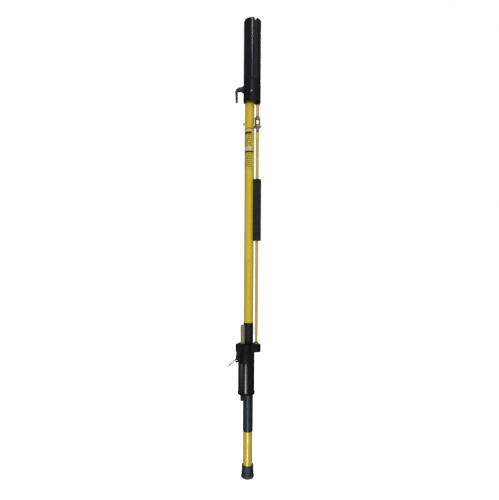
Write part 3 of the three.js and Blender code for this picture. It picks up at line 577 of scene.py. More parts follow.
def lever_metal():
    """The lever: bright where the hub is handled, brown towards the tip."""
    f = Finish("lever_metal", Metallic=0.5)
    lever = Box("release_lever")
    tip = f.ranged(f.axes()[0], lever.right - 12, lever.left)
    line = f.noise(0.3, (30, 1, 30), 4)
    colour = f.tinted(f.ranged(line, 0.3, 0.7), (190, 176, 156), (216, 204, 188))
    uneven = f.maths("MULTIPLY", tip, f.ranged(f.noise(3, detail=5), 0.3, 0.6, 0.5, 1.0))
    colour = f.tinted(uneven, colour, (96, 78, 54))
    f.raise_by(line, 0.03, 0.6)
    f.done(colour, f.ranged(f.noise(3), 0.3, 0.7, 0.32, 0.5))


def label_film():
    """Clear film over the yellow tube, with plain printed bars and rows of dashes and no lettering."""
    f = Finish("label_film", Coat_Weight=0.3, Coat_Roughness=0.2)
    upper, lower = Box("label_upper"), Box("label_lower")
    x, y, z = f.axes()
    turn = f.maths("MULTIPLY", f.maths("ARCTAN2", x, f.maths("MULTIPLY", y, -1.0)), 180 / math.pi)
    ground = f.tinted(f.ranged(f.noise(6), 0.3, 0.7), (208, 180, 46), (194, 168, 48))
    ink = (66, 56, 20)

    row_pitch, printed_share = 7.4, 0.56
    rows = f.maths("DIVIDE", z, row_pitch)
    in_row = f.maths("LESS_THAN", f.maths("FRACT", rows), printed_share)
    row = f.maths("FLOOR", rows)
    spot = f.node("CombineXYZ", {0: f.maths("MULTIPLY", turn, 0.07), 1: row}).outputs[0]
    dash = f.node("TexNoise", {"Vector": spot, "Scale": 1.0, "Detail": 1.0}).outputs["Fac"]
    dashes = f.maths("MULTIPLY", in_row, f.ranged(dash, 0.44, 0.52, 0, 0.9))
    margin = f.maths("MULTIPLY", f.within(turn, -84, 26), f.within(z, lower.bottom + 4, upper.bottom + 64))
    colour = f.tinted(f.maths("MULTIPLY", dashes, margin), ground, ink)

    pale, grey, black, orange, cream = (
        (196, 192, 190), (118, 124, 140), (32, 26, 12), (206, 140, 40), (220, 200, 110))
    for low, high, from_turn, to_turn, tint, share in (
        (7.4, 20.4, -68, 24, pale, 0.9), (12.2, 16.4, -28, -8, grey, 0.8), (0.2, 5.6, -128, 50, black, 0.95),
        (42, 52, 8, 34, orange, 0.8), (64, 71.4, -66, 26, black, 0.95), (73, 79.5, -70, 40, cream, 0.5),
        (81, 83.8, -128, 50, black, 0.85),
    ):
        height = f.within(z, upper.bottom + low, upper.bottom + high)
        area = f.maths("MULTIPLY", height, f.within(turn, from_turn, to_turn))
        colour = f.tinted(f.maths("MULTIPLY", area, share), colour, tint)
    f.done(colour, f.ranged(f.noise(5), 0.3, 0.7, 0.36, 0.5))


# ---- shared sizes

tube = Box("pole_tube")
core = Box("foam_core")
barrel = Box("head_barrel")
socket = Box("head_socket")
bar = Box("guide_bar")
ring = Box("handle_end_ring")
left_shell = Box("handle_shell_left")
right_shell = Box("handle_shell_right")
bracket = Box("slide_bracket")
lower_rod = Box("operating_rod_lower")
upper_rod = Box("operating_rod_upper")
carrier = Box("hook_carrier")
lever_pin = Box("lever_pin")
lever_box = Box("release_lever")
track = Box("track_sleeve")

BORE = core.radius + GAP
SLIDE_HOLE = track.radius + GAP
HANDLE_RADIUS = ring.x - left_shell.left
HANDLE_BORE = HANDLE_RADIUS - 2.6
HANDLE_SCREWS = {"handle_screw_1": 195, "handle_screw_2": 155, "handle_screw_3": 195, "handle_screw_4": 155}
ROD_HOLE = lower_rod.radius + GAP


def bar_section(grow=0.0):
    """The flat guide bar's outline in plan, grown all round."""
    reach = (bar.right - bar.left) / 2 - bar.radius
    return stadium((bar.x - reach, bar.y), (bar.x + reach, bar.y), bar.radius + grow)


def bar_room(low, high):
    return prism("bar_room", bar_section(GAP), low, high)


# ---- pole


def make_pole():
    low, high = tube.bottom, tube.top
    pipe = [(BORE, low, 0.4), (tube.radius, low, 0.4), (tube.radius, high, 0.4), (BORE, high, 0.4)]
    stand_for(lathe("pole_tube", pipe, sides=128, longest=40))
    stand_for(foot_cap())

    grip = Box("grip_sleeve")
    skin = tube.radius + 0.2
    section = [(skin, grip.bottom), (grip.radius, grip.bottom, 1.0), (grip.radius, grip.top, 0.9),
               (skin, grip.top)]
    stand_for(lathe("grip_sleeve", section, wobble=dipped, longest=3))
    section = [(skin, track.bottom), (track.radius, track.bottom, 0.3), (track.radius, track.top, 0.4),
               (skin, track.top)]
    stand_for(lathe("track_sleeve", section, wobble=shrunk, longest=4))

    for node in ("label_upper", "label_lower"):
        label = Box(node)
        film = sector(tube.radius + 0.5, tube.radius + 0.25, -129, 51, 90)
        stand_for(prism(node, film, label.bottom, label.top))

    stand_for(tube_stud())
    stand_for(guide_bar())


def guide_bar():
    """A flat bar with rounded sides and corners."""
    body = prism("guide_bar", bar_section(), bar.bottom, bar.top, 0.8)
    left, right, corner = bar.left - 0.05, bar.right + 0.05, 3.5
    ends = ((left, bar.bottom), (right, bar.bottom), (right, bar.top), (left, bar.top))
    face = rounded([(*end, corner) for end in ends], steps=8)
    return common(body, sideways("face", face, bar.y - 10, bar.y + 10))


def dipped(turn, z):
    """A dipped sleeve's slow unevenness, never above its full radius."""
    wave = math.sin(2 * turn + z / 23) + math.sin(3 * turn - z / 31 + 1) + math.sin(z / 17)
    return -0.08 + 0.026 * wave


def shrunk(turn, z):
    """A shrunk sleeve's faint ripple, never above its full radius."""
    return -0.05 + 0.025 * (math.sin(z / 11 + math.sin(turn)) + math.sin(2 * turn + z / 47))


def foot_cap():
    """The rubber cap, with three grooves in its sole, a thick ring near its base and a bead higher up."""
    cap = Box("foot_cap")
    rim = cap.radius
    body = rim - 2.2
    bead = body + 0.8
    bore, floor = tube.radius + GAP, tube.bottom - GAP
    sole = []
    for groove in (5.5, 10.0, 14.5):
        sole += [(groove, 0, 0.2), (groove + 0.4, 0.9, 0.2), (groove + 1.3, 0.9, 0.2), (groove + 1.7, 0, 0.2)]
    return lathe("foot_cap", [
        (0, 0), *sole, (rim - 4, 0, 0.9), (rim - 0.6, 2.4, 0.8), (rim, 3.9, 0.6), (rim, 7.9, 0.6),
        (rim - 0.6, 9.4, 0.8), (body, 11.6, 1.2), (body, 15.4, 0.4), (bead, 16.4, 0.5), (bead, 19, 0.5),
        (body, 20, 0.4), (body, cap.top - 1.6, 0.8), (body - 1.2, cap.top, 0.6),
        (bore, cap.top, 0.4), (bore, floor), (0, floor),
    ], sides=128)


def tube_stud():
    stud = Box("tube_stud")
    face = -stud.left
    flange, neck, button = 6, 3.4, 5.4
    turned = lathe("tube_stud", [
        (0, tube.radius - 1.4), (flange, tube.radius - 1.4), (flange, face - 3.7, 0.4),
        (neck, face - 3.1, 0.5), (neck, face - 2.3, 0.4), (button, face - 1.7, 0.4),
        (button, face - 0.4, 0.5), (button - 1.2, face, 0.4), (0, face),
    ], sides=64)
    cut(turned, block((-0.6, 0.6), (-8, 8), (face - 0.7, face + 1)))
    moved(turned, TO_LEFT, shift(z=stud.z))
    return cut(turned, drill(tube.radius + 0.1, stud.z - 20, stud.z + 20, sides=128))


# ---- screws and nuts


def outwards(turn, distance, z, x=0, y=0):
    """The place of a piece that points out of a round wall, at an angle in degrees from the front."""
    return Matrix.Translation((x, y, z)) @ Matrix.Rotation(math.radians(turn), 4, "Z") @ \
        Matrix.Translation((0, -distance, 0)) @ TO_FRONT


def hexagon(name, corner, low, high):
    turns = [math.radians(angle) for angle in range(0, 360, 60)]
    return prism(name, [(corner * math.sin(turn), corner * math.cos(turn)) for turn in turns], low, high)


def cap_screw(node, head, height, shank, length, place):
    """A screw with a hexagonal socket, its head's face at z = 0 before it is placed."""
    screw = lathe(node, [
        (0, -length), (shank, -length, 0.3), (shank, -height), (head, -height, 0.2), (head, 0, 0.45), (0, 0),
    ], sides=48)
    cut(screw, hexagon("socket", head * 0.5, -height * 0.65, 1))
    stand_for(moved(screw, place))


def hex_nut(node, corner, hole, height, place):
    """A nut with turned corners and a countersunk hole, standing on z = 0 before it is placed."""
    slope = height * 0.16
    nut = common(hexagon(node, corner, 0, height), lathe("turned", [
        (0, 0), (corner * 0.88, 0), (corner + 0.1, slope), (corner + 0.1, height - slope),
        (corner * 0.88, height), (0, height),
    ]))
    cut(nut, lathe("hole", [
        (0, -1), (hole + 1.4, -1), (hole, 0.5), (hole, height - 0.5), (hole + 1.4, height + 1),
        (0, height + 1),
    ], sides=48))
    stand_for(moved(nut, place))


def upright_nut(node, hole):
    nut = Box(node)
    hex_nut(node, nut.radius, hole, nut.height, shift(nut.x, nut.y, nut.bottom))


def washer(node, inner, outer, height, place):
    ring_section = [(inner, 0, 0.1), (outer, 0, 0.2), (outer, height, 0.2), (inner, height, 0.1)]
    stand_for(moved(lathe(node, ring_section, sides=48), place))


# ---- head


def make_head():
    stand_for(head_socket())
    stand_for(rod_guide_bush())
    stand_for(head_barrel())
    stand_for(hanger_hook(), sharp=None)
    for number, turn in enumerate(BARREL_SCREW_TURNS, 1):
        node = f"barrel_screw_{number}"
        place = outwards(turn, barrel.radius - 0.2, Box(node).z, barrel.x, barrel.y)
        cap_screw(node, 3, 1.2, 1.5, 9, place)
    for node in HOOK_SCREWS:
        screw = Box(node)
        place = shift(screw.left, screw.y, screw.z) @ TO_LEFT
        cap_screw(node, 2.5, 3, 1.5, screw.right - screw.left, place)

    bolt = Box("head_bolt")
    end = bolt.front - bolt.back
    dome = lathe("head_bolt", [
        (0, end), (2.7, end, 0.4), (3, end + 1), (3, -2), (4.5, -2, 0.2), (4.5, -1.1, 0.7), (3.2, -0.2, 0.6),
        (0, 0),
    ], sides=64)
    stand_for(moved(dome, shift(bolt.x, bolt.front, bolt.z) @ TO_FRONT))
    nut = Box("head_nut")
    backwards = Matrix.Rotation(-math.pi / 2, 4, "X")
    hex_nut("head_nut", 5.8, 3.3, nut.back - nut.front, shift(nut.x, nut.front, nut.z) @ backwards)


BARREL_SCREW_TURNS = (100, 180, 260)
HOOK_SCREWS = ("hook_screw_lower", "hook_screw_upper")
SPIGOT_WALL = 3.3
BUSH_SPIGOT = 6.6
DRIP_SLOPE = 17  # degrees by which the back half of the socket's underside rises


def head_socket():
    """The collar that takes the tube and the rod, its underside rising towards the back."""
    low, seam = socket.bottom, barrel.bottom - GAP
    radius = barrel.radius
    body = lathe("head_socket", [
        (0, low), (radius, low, 1.6), (radius, seam, 0.7), (radius - SPIGOT_WALL, seam, 0.3),
        (radius - SPIGOT_WALL, socket.top, 0.6), (0, socket.top),
    ], barrel.x, barrel.y, sides=144, longest=4)
    cut(body, moved(block((-45, 45), (0, 70), (-30, 0)), Matrix.Rotation(math.radians(DRIP_SLOPE), 4, "X"),
                    shift(barrel.x, barrel.y, low)))
    bolt = Box("head_bolt")
    hole_and_seats = [
        moved(drill(*sizes), TO_FRONT, shift(bolt.x, barrel.y, bolt.z))
        for sizes in ((3.3, -40, 40), (5.1, radius - 1.2, 40), (6.5, -40, 2.5 - radius))
    ]
    pole_bore = lathe("bore", [
        (0, low - 1), (tube.radius + 2.3, low - 1), (tube.radius + GAP, low + 1.2),
        (tube.radius + GAP, tube.top + GAP), (0, tube.top + GAP),
    ], sides=96)
    bush = Box("rod_guide_bush")
    seat = BUSH_SPIGOT + GAP
    rod_bore = lathe("bore", [
        (0, low - 1), (seat, low - 1), (seat, bush.top + GAP), (ROD_HOLE, bush.top + GAP),
        (ROD_HOLE, socket.top + 1), (0, socket.top + 1),
    ], upper_rod.x, upper_rod.y, sides=64)
    parting_line = block((barrel.x - 20.1, barrel.x - 19.5), (-60, -radius * 0.7 + barrel.y - 0.4),
                         (low - 1, seam + 1))
    return cut(body, *hole_and_seats, pole_bore, rod_bore, parting_line)


def rod_guide_bush():
    """The flanged bush under the socket that the operating rod runs through."""
    bush = Box("rod_guide_bush")
    flange = socket.bottom - GAP
    return lathe("rod_guide_bush", [
        (ROD_HOLE, bush.bottom, 0.5), (bush.radius, bush.bottom, 0.9), (bush.radius, flange, 0.2),
        (BUSH_SPIGOT, flange), (BUSH_SPIGOT, bush.top, 0.4), (ROD_HOLE, bush.top, 0.3),
    ], upper_rod.x, upper_rod.y, sides=64)


def head_barrel():
    """An open tube whose rim has four V notches, made column by column round its axis."""
    outer, inner, low, top = barrel.radius, barrel.radius - 3, barrel.bottom, barrel.top
    half, depth, first, count = 5.0, 10.0, 20, 4  # a notch's half width and depth, the first's angle
    edge = 0.9
    columns = []
    for notch in range(count):
        middle = math.radians(first + notch * 360 / count)
        for step in range(-10, 11):
            side = half * step / 10
            height = top - depth + depth * math.hypot(step / 10, 0.05)
            turns = (middle + math.asin(side / outer), middle + math.asin(side / inner))
            columns.append((*turns, min(height, top)))
        quarter = 2 * math.pi / count
        for step in range(1, 24):
            share = step / 24
            angles = []
            for radius in (outer, inner):
                start = middle + math.asin(half / radius)
                end = middle + quarter - math.asin(half / radius)
                angles.append(start + (end - start) * share)
            columns.append((*angles, top))

    def section(height):
        rim = [(0.0, edge), (edge * 0.13, edge * 0.5), (edge * 0.5, edge * 0.13), (edge, 0.0)]
        levels = 30
        wall = [low + edge + (height - low - 2 * edge) * level / levels for level in range(levels + 1)]
        points = [(inner + 0.3, low), (outer - edge, low), (outer - edge * 0.3, low + edge * 0.3)]
        points += [(outer, z) for z in wall]
        points += [(outer - inset, height - drop) for inset, drop in rim[1:]]
        points += [(inner + inset, height - drop) for inset, drop in reversed(rim[1:])]
        return points + [(inner, z) for z in reversed(wall)]

    bm = bmesh.new()
    rings = []
    for outer_turn, inner_turn, height in columns:
        column = []
        for radius, z in section(height):
            share = (radius - inner) / (outer - inner)
            turn = inner_turn + (outer_turn - inner_turn) * share
            place = (barrel.x + radius * math.sin(turn), barrel.y - radius * math.cos(turn), z)
            column.append(bm.verts.new(place))
        rings.append(column)
    for here, there in zip(rings, rings[1:] + rings[:1]):
        for i in range(len(here)):
            j = (i + 1) % len(here)
            bm.faces.new((here[i], here[j], there[j], there[i]))
    tubular = new_object("head_barrel", bm)
    screw_z = Box("barrel_screw_1").z
    return cut(tubular, *[
        moved(drill(*sizes), outwards(turn, outer - inset, screw_z, barrel.x, barrel.y))
        for sizes, inset in (((3.3, -1.5, 5), 0.2), ((1.8, -12, 5), 0)) for turn in BARREL_SCREW_TURNS
    ])


def hanger_hook():
    """A thick bridge from the head's left side, turned down into a tapered finger."""
    hook = Box("hanger_hook")
    finger_length, finger_width, tip_width, turn = 37.5, 9.2, 7.6, 2.4
    tip = hook.bottom
    seat = tip + finger_length
    side, root = -barrel.radius, -barrel.radius + 3
    outer = hook.left - barrel.x
    inner = outer + finger_width
    thin = inner - tip_width
    outline = path(
        (root, seat - 9), (side, seat - 7.5),
        ((side - 6, seat), (side - 9, seat)),
        (inner + 4.5, seat),
        ((inner, seat), (inner, seat - 6)),
        (inner, tip + turn),
        ((inner, tip), (inner - turn, tip)),
        (thin + turn, tip),
        ((thin, tip), (thin, tip + turn)),
        (outer, seat - 2.5),
        ((outer + 0.5, seat + 6.5), (outer + 12, seat + 12.5)),
        ((outer + 21, seat + 13), (side, seat + 18)),
        (root, seat + 19),
    )
    half = hook.radius
    body = moved(sideways("hanger_hook", outline, -half, half, 1.8), shift(barrel.x, barrel.y))
    seats = []
    for screw in map(Box, HOOK_SCREWS):
        seats.append(moved(drill(2.8, -3.3, 40), shift(screw.left, screw.y, screw.z) @ TO_LEFT))
    saddle = drill(barrel.radius + GAP, hook.bottom - 20, hook.top + 20, barrel.x, barrel.y, sides=144)
    return moulded(cut(body, saddle, *seats), 0.5, 6)


# ---- hook carrier and clamp hook


def make_hook():
    low, top = carrier.bottom, carrier.top
    disc = lathe("hook_carrier", [(0, low), (carrier.radius, low, 0.9), (carrier.radius, top, 0.9), (0, top)],
                 barrel.x, barrel.y, sides=128)
    cut(disc, drill(SHANK + GAP, low - 1, top + 1, barrel.x, barrel.y),
        drill(ROD_THREAD + GAP, low - 1, top + 1, upper_rod.x, upper_rod.y))
    stand_for(disc)
    upright_nut("hook_nut", SHANK + GAP)
    upright_nut("carrier_nut", ROD_THREAD + GAP)
    stand_for(clamp_hook())


SHANK = 5.0
ROD_THREAD = 3.5


def clamp_hook():
    """A round bar that steps aside and then turns over into a hook."""
    hook = Box("clamp_hook")
    bend = 12.0
    offset = -11.5
    arch = hook.top - SHANK - bend
    dome = 2.4
    low = hook.bottom + dome
    points = [(0, low), (0, arch - 64), (-1.2, arch - 57), (-5.75, arch - 46), (-10.3, arch - 35),
              (offset, arch - 28), (offset, arch - 14), (offset, arch)]
    for step in range(1, 13):
        turn = math.pi * step / 12
        points.append((offset + bend - bend * math.cos(turn), arch + bend * math.sin(turn)))
    points += [(offset + 2 * bend, arch - 5), (offset + 2 * bend, arch - 12.5)]
    spine = smooth_line([Vector((barrel.x + x, barrel.y, z)) for x, z in points], 6)
    return swept("clamp_hook", spine, SHANK - 0.02, 40, dome)


def smooth_line(points, parts):
    """A Catmull-Rom curve through the points, with that many steps between each two."""
    line = []
    for i in range(len(points) - 1):
        before, here = points[max(i - 1, 0)], points[i]
        there, after = points[i + 1], points[min(i + 2, len(points) - 1)]
        for part in range(parts):
            t = part / parts
            line.append(0.5 * (
                2 * here + (there - before) * t + (2 * before - 5 * here + 4 * there - after) * t * t
                + (3 * here - before - 3 * there + after) * t ** 3
            ))
    return line + [points[-1]]


# ---- operating rod


def make_rod():
    x, y, radius = lower_rod.x, lower_rod.y, lower_rod.radius
    low, top = lower_rod.bottom, lower_rod.top
    stand_for(lathe("operating_rod_lower", [
        (0, low), (radius, low, 0.5), (radius, top, 0.3), (2.8, top), (2.8, top - 16), (0, top - 16),
    ], x, y, 64, longest=40))

    shoulder = carrier.bottom - 0.9
    end = upper_rod.top
    stand_for(lathe("operating_rod_upper", [
        (0, upper_rod.bottom), (radius, upper_rod.bottom, 0.3), (radius, shoulder, 0.4),
        (ROD_THREAD, shoulder + 0.6), *thread(ROD_THREAD, carrier.bottom + 12, end - 1),
        (ROD_THREAD - 0.6, end, 0.3), (0, end),
    ], x, y, 64, longest=40))

    foam = Box("rod_grip")
    section = [(ROD_HOLE, foam.bottom, 0.4), (foam.radius, foam.bottom, 2.2), (foam.radius, foam.top, 2.2),
               (ROD_HOLE, foam.top, 0.4)]
    stand_for(lathe("rod_grip", section, x, y, 96, wobble=squeezed, longest=4))

    collar = Box("rod_ferrule")
    low, top, out = collar.bottom, collar.top, collar.radius
    stand_for(lathe("rod_ferrule", [
        (ROD_HOLE, low), (out, low, 0.7), (out, low + 4.4, 0.3), (out - 0.4, low + 5, 0.2),
        (out - 0.4, top - 5, 0.2), (out, top - 4.4, 0.3), (out, top, 0.5), (ROD_HOLE, top),
    ], x, y, 64))
    upright_nut("rod_lock_nut", ROD_HOLE)
    upright_nut("fork_lock_nut", ROD_HOLE)
    make_clevis()


def squeezed(turn, z):
    """Foam that hands have pressed in a little, never above its full radius."""
    return -0.12 + 0.05 * math.sin(z / 19 + 2 * turn) + 0.05 * math.sin(z / 37 - turn)


def make_clevis():
    """The coupling between the two rods: an eye on the lower one in a fork on the upper one, whose window
    is narrower above the eye than the slot that the eye sits in."""
    fork, eye, pin = Box("clevis_fork"), Box("clevis_eye"), Box("clevis_pin")
    x, y = lower_rod.x, lower_rod.y

    def pin_hole():
        return moved(drill(2.7, -20, 20), TO_RIGHT, shift(x, y, pin.z))

    reach = fork.radius
    window_top = fork.top - 5.9
    tongue = 5.0
    outline = [Vector((y - reach, fork.top)), Vector((y + reach, fork.top))] + arc(y, pin.z, reach, 0, -180)
    body = endways("clevis_fork", outline, fork.left, fork.right, 0.9)
    slot = block((x - tongue - GAP, x + tongue + GAP), (y - 10, y + 10), (pin.z - 10, eye.top + 1))
    window = block((x - 3.6, x + 3.6), (y - 10, y + 10), (eye.top, window_top))
    cut(body, slot, window, pin_hole(), drill(ROD_HOLE, window_top - 1, fork.top + 1, x, y))
    stand_for(moulded(body, 0.4, 4), sharp=None)

    reach = eye.radius
    bulb_z = eye.top - reach
    outline = arc(y, bulb_z, reach, 0, 180)
    outline += [Vector((y - reach, bulb_z - 14.4)), Vector((y + reach, bulb_z - 14.4))]
    bulb = endways("clevis_eye", outline, x - tongue, x + tongue, 0.8)
    neck_low = Box("rod_ferrule").top + GAP
    neck = lathe("neck", [
        (0, neck_low), (5.1, neck_low, 0.4), (5.1, neck_low + 4, 0.5), (4.4, neck_low + 5, 0.4),
        (4.4, neck_low + 7, 0.4), (5.1, neck_low + 8, 0.5), (5.1, bulb_z - 12), (0, bulb_z - 12),
    ], x, y, 48)
    stem = drill(2.5, eye.bottom, neck_low + 2, x, y)
    stand_for(moulded(cut(gathered(bulb, neck, stem), pin_hole()), 0.35, 3), sharp=None)

    span = pin.right - pin.left
    turned = lathe("clevis_pin", [
        (0, 0), (4, 0, 0.6), (4, 1.9, 0.2), (2.4, 1.9), (2.4, span, 0.4), (0, span),
    ], sides=48)
    stand_for(moved(turned, shift(pin.left, y, pin.z) @ TO_RIGHT))
    clip = Box("clevis_clip")
    washer("clevis_clip", 2.65, 4, clip.right - clip.left, shift(clip.left, y, clip.z) @ TO_RIGHT)


# ---- sliding handle


def make_handle():
    seam = GAP / 2
    split = (left_shell.right + right_shell.left) / 2 - ring.x
    stand_for(handle_shell("handle_shell_left", left_shell, split - seam, True))
    stand_for(handle_shell("handle_shell_right", right_shell, split + seam, False))

    low, top, out = ring.bottom, ring.top, ring.radius
    bore = HANDLE_BORE + 0.1
    stand_for(lathe("handle_end_ring", [
        (bore, low, 0.4), (out, low, 1.2), (out, low + 3, 0.2), (out - 0.5, low + 3.5, 0.2),
        (out - 0.5, low + 4.3, 0.2), (out, low + 4.8, 0.2), (out, top, 1.4), (HANDLE_RADIUS + GAP, top, 0.3),
        (HANDLE_RADIUS + GAP, low + 1.5), (bore, low + 1.5, 0.3),
    ], ring.x, ring.y, sides=128))
    stand_for(handle_bush())
    stand_for(slide_bracket(), sharp=None)
    bracket_skirt()
    for node, turn in HANDLE_SCREWS.items():
        place = outwards(turn, HANDLE_RADIUS - 0.2, Box(node).z, ring.x, ring.y)
        cap_screw(node, 3, 1.2, 1.4, 6, place)


def handle_shell(name, box, split, left):
    """Half of the handle's tube: a C in plan, its edges at the seams rounded."""
    front_out = math.degrees(math.asin(split / HANDLE_RADIUS))
    front_in = math.degrees(math.asin(split / HANDLE_BORE))
    rear = -270 if left else 90
    outer = arc(0, 0, HANDLE_RADIUS, front_out - 90, rear - front_out, 80)
    inner = arc(0, 0, HANDLE_BORE, rear - front_in, front_in - 90, 80)
    bevel = 0.5
    corners = [(*outer[0], bevel), *outer[1:-1], (*outer[-1], bevel), *inner]
    outline = rounded([tuple(corner) for corner in corners], steps=3)
    shell = moved(prism(name, outline, box.bottom, box.top, 0.25), shift(ring.x, ring.y))
    tools = []
    for node, turn in HANDLE_SCREWS.items():
        if (turn > 180) != left:
            continue
        z = Box(node).z
        tools.append(moved(drill(3.3, -1.5, 5), outwards(turn, HANDLE_RADIUS - 0.2, z, ring.x, ring.y)))
        tools.append(moved(drill(1.7, -7, 5), outwards(turn, HANDLE_RADIUS, z, ring.x, ring.y)))
    if left:
        plate = Box("lock_plate")
        tools.append(block((ring.x - 40, ring.x - 17), (lever_box.front, lever_box.back),
                           (plate.bottom - 5, plate.top + 2)))
    return cut(shell, *tools)


def handle_bush():
    bush = Box("handle_bush")
    reach = HANDLE_BORE - GAP
    section = [(0, bush.bottom), (reach, bush.bottom, 0.6), (reach, bush.top, 0.6), (0, bush.top)]
    body = lathe("handle_bush", section, ring.x, ring.y)
    low, high = bush.bottom - 1, bush.top + 1
    return cut(body, drill(SLIDE_HOLE, low, high, sides=96), bar_room(low, high))


SKIRT_BOTTOM = 397.0


def slide_bracket():
    """The block on top of the handle: the rod on its right, the lever's cheeks under its left."""
    low, top = left_shell.top + GAP, bracket.top
    lever_x, lever_y, lever_z = lever_pin.x, lever_box.y, lever_pin.z
    near = lever_y - 6.5 - GAP
    far = lever_y + 6.5 + GAP
    edge = 1.6
    hub = prism("slide_bracket", arc(ring.x, ring.y, HANDLE_RADIUS + 0.4, 0, 357, 119), low, top, edge)
    rod_lobe = prism("lobe", stadium((2, -9), (lower_rod.x + 1.4, lower_rod.y), 14.5), low, top, edge)
    lever_lobe = prism("lobe", stadium((ring.x, lever_y), (lever_x + 5.8, lever_y), 10), low, top, edge)
    cheek = [Vector((lever_x - 1, low + 2)), Vector((lever_x - 4.4, lever_z))]
    cheek += arc(lever_x, lever_z - 4, 4.6, 180, 342, 24)
    cheek += [Vector((lever_x + 11, lever_z + 2)), Vector((lever_x + 11, low + 2))]
    cheeks = [sideways("cheek", cheek, near - 3, near, 0.5), sideways("cheek", cheek, far, far + 3, 0.5)]
    for piece in cheeks:
        cut(piece, drill(HANDLE_RADIUS + GAP, low - 50, low, ring.x, ring.y, sides=128))
    lug = common(block((ring.x - 12, ring.x + 14.5), (ring.y + 12, ring.y + 30), (low - 13, low + 2)),
                 drill(HANDLE_BORE - GAP, low - 14, low + 3, ring.x, ring.y, sides=96))
    body = gathered(hub, rod_lobe, lever_lobe, *cheeks, lug)
    rod_socket = lathe("socket", [
        (0, low + 4), (ROD_HOLE, low + 4), (ROD_HOLE, top - 0.8), (ROD_HOLE + 2, top + 1), (0, top + 1),
    ], lower_rod.x, lower_rod.y, 48)
    pin_hole = moved(drill(2.3, -near - 3 - 30, -near + 30), TO_FRONT, shift(lever_x, 0, lever_z))
    slide = drill(SLIDE_HOLE, low - 30, top + 1, sides=96)
    cut(body, rod_socket, pin_hole, slide, bar_room(low - 30, top + 1))
    return moulded(body, 0.6, 5)


def bracket_skirt():
    """The thin apron that hangs from the bracket over the handle's upper front."""
    low, top = SKIRT_BOTTOM, left_shell.top + GAP + 1
    inner = HANDLE_RADIUS + GAP
    steps = 60
    ends = (0, steps, steps + 1, 2 * steps + 1)
    corners = enumerate(sector(inner + 1.2, inner, -82, 6, steps))
    outline = rounded([(*point, 0.3) if i in ends else tuple(point) for i, point in corners], steps=2)
    skirt = moved(prism("bracket_skirt", outline, low, top, 0.3), shift(ring.x, ring.y))
    room = block((lever_pin.x - 9, lever_pin.x + 14), (lever_box.front - GAP, lever_box.back + GAP),
                 (low - 2, top - 1))
    cut(skirt, room)
    skirt.name = "bracket_skirt"
    sized(skirt)
    belong(skirt, "bracket_black", "slider")


# ---- release lever and lock


def make_lever():
    x, y, z = lever_pin.x, lever_box.y, lever_pin.z
    tail_x, tail_z = -27.2, -22
    tail = path((-2.6, 2.7), ((-12, -4.5), (tail_x - 1.6, tail_z + 1.6)), steps=24)
    tail += arc(tail_x, tail_z, 2.2, 135, 315, 12)
    tail += path((tail_x + 1.6, tail_z - 1.6), ((-12, -12.5), (1.2, -3.4)), steps=24)[1:]
    half = lever_box.radius
    strip = sideways("release_lever", tail, -half, half, 0.6)
    hub_section = [(0, -half), (3.9, -half, 0.5), (3.9, half, 0.5), (0, half)]
    hub = moved(lathe("hub", hub_section, sides=48), TO_FRONT)
    nose = sideways("nose", stadium((0, 0), (4.1, 2.3), 2), -4, 4, 0.4)
    ribs = []
    for share in (0.62, 0.74, 0.86):
        rib_x = tail_x * share
        rib_z = (tail_z + 3.4) * share ** 1.35 + 0.6
        ribs.append(moved(drill(0.7, -half + 2, half - 2, sides=16), TO_FRONT, shift(rib_x - 0.3, 0, rib_z)))
    body = cut(gathered(strip, hub, nose, *ribs), moved(drill(2.3, -20, 20), TO_FRONT))
    stand_for(moved(moulded(body, 0.32, 3), shift(x, y, z)), sharp=None)

    span = lever_pin.back - lever_pin.front
    turned = lathe("lever_pin", [
        (0, 0), (2.6, 0, 0.4), (3.4, 0.5, 0.3), (3.4, 1.4), (2, 1.4), (2, span, 0.4), (0, span),
    ], sides=48)
    stand_for(moved(turned, shift(x, lever_pin.back, z) @ TO_FRONT))
    clip = Box("lever_clip")
    washer("lever_clip", 2.25, 3.4, clip.back - clip.front, shift(x, clip.back, z) @ TO_FRONT)


def make_lock():
    """The lock plate's spring, which gets shorter as the plate lifts, and the plate's own edges."""
    spring = Box("lock_spring")
    wire = 0.45  # radius
    turns, parts = 6, 20
    reach = spring.radius - wire
    low, top = spring.bottom + wire, spring.top - wire
    coil = []
    for step in range(turns * parts + 1):
        share = step / (turns * parts)
        turn = 2 * math.pi * turns * share
        x, y = spring.x + reach * math.cos(turn), lever_box.y + reach * math.sin(turn)
        coil.append(Vector((x, y, low + (top - low) * share)))
    piece = stand_for(swept("lock_spring", coil, wire, 10), sharp=60)
    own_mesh(piece)
    chamfer = frame["nodes"]["lock_plate"].modifiers.new("chamfer", "BEVEL")
    chamfer.width = 0.2 * MM
    chamfer.segments = 2
    chamfer.limit_method = "ANGLE"


# ---- nodes that stay as they are


def dress_hidden_nodes():
    """The CAD nodes that stay take the finish of their slot."""
    for node, part in frame["nodes"].items():
        part.data.materials.clear()
        part.data.materials.append(finishes[SLOT_OF[node]])


# ---- studio


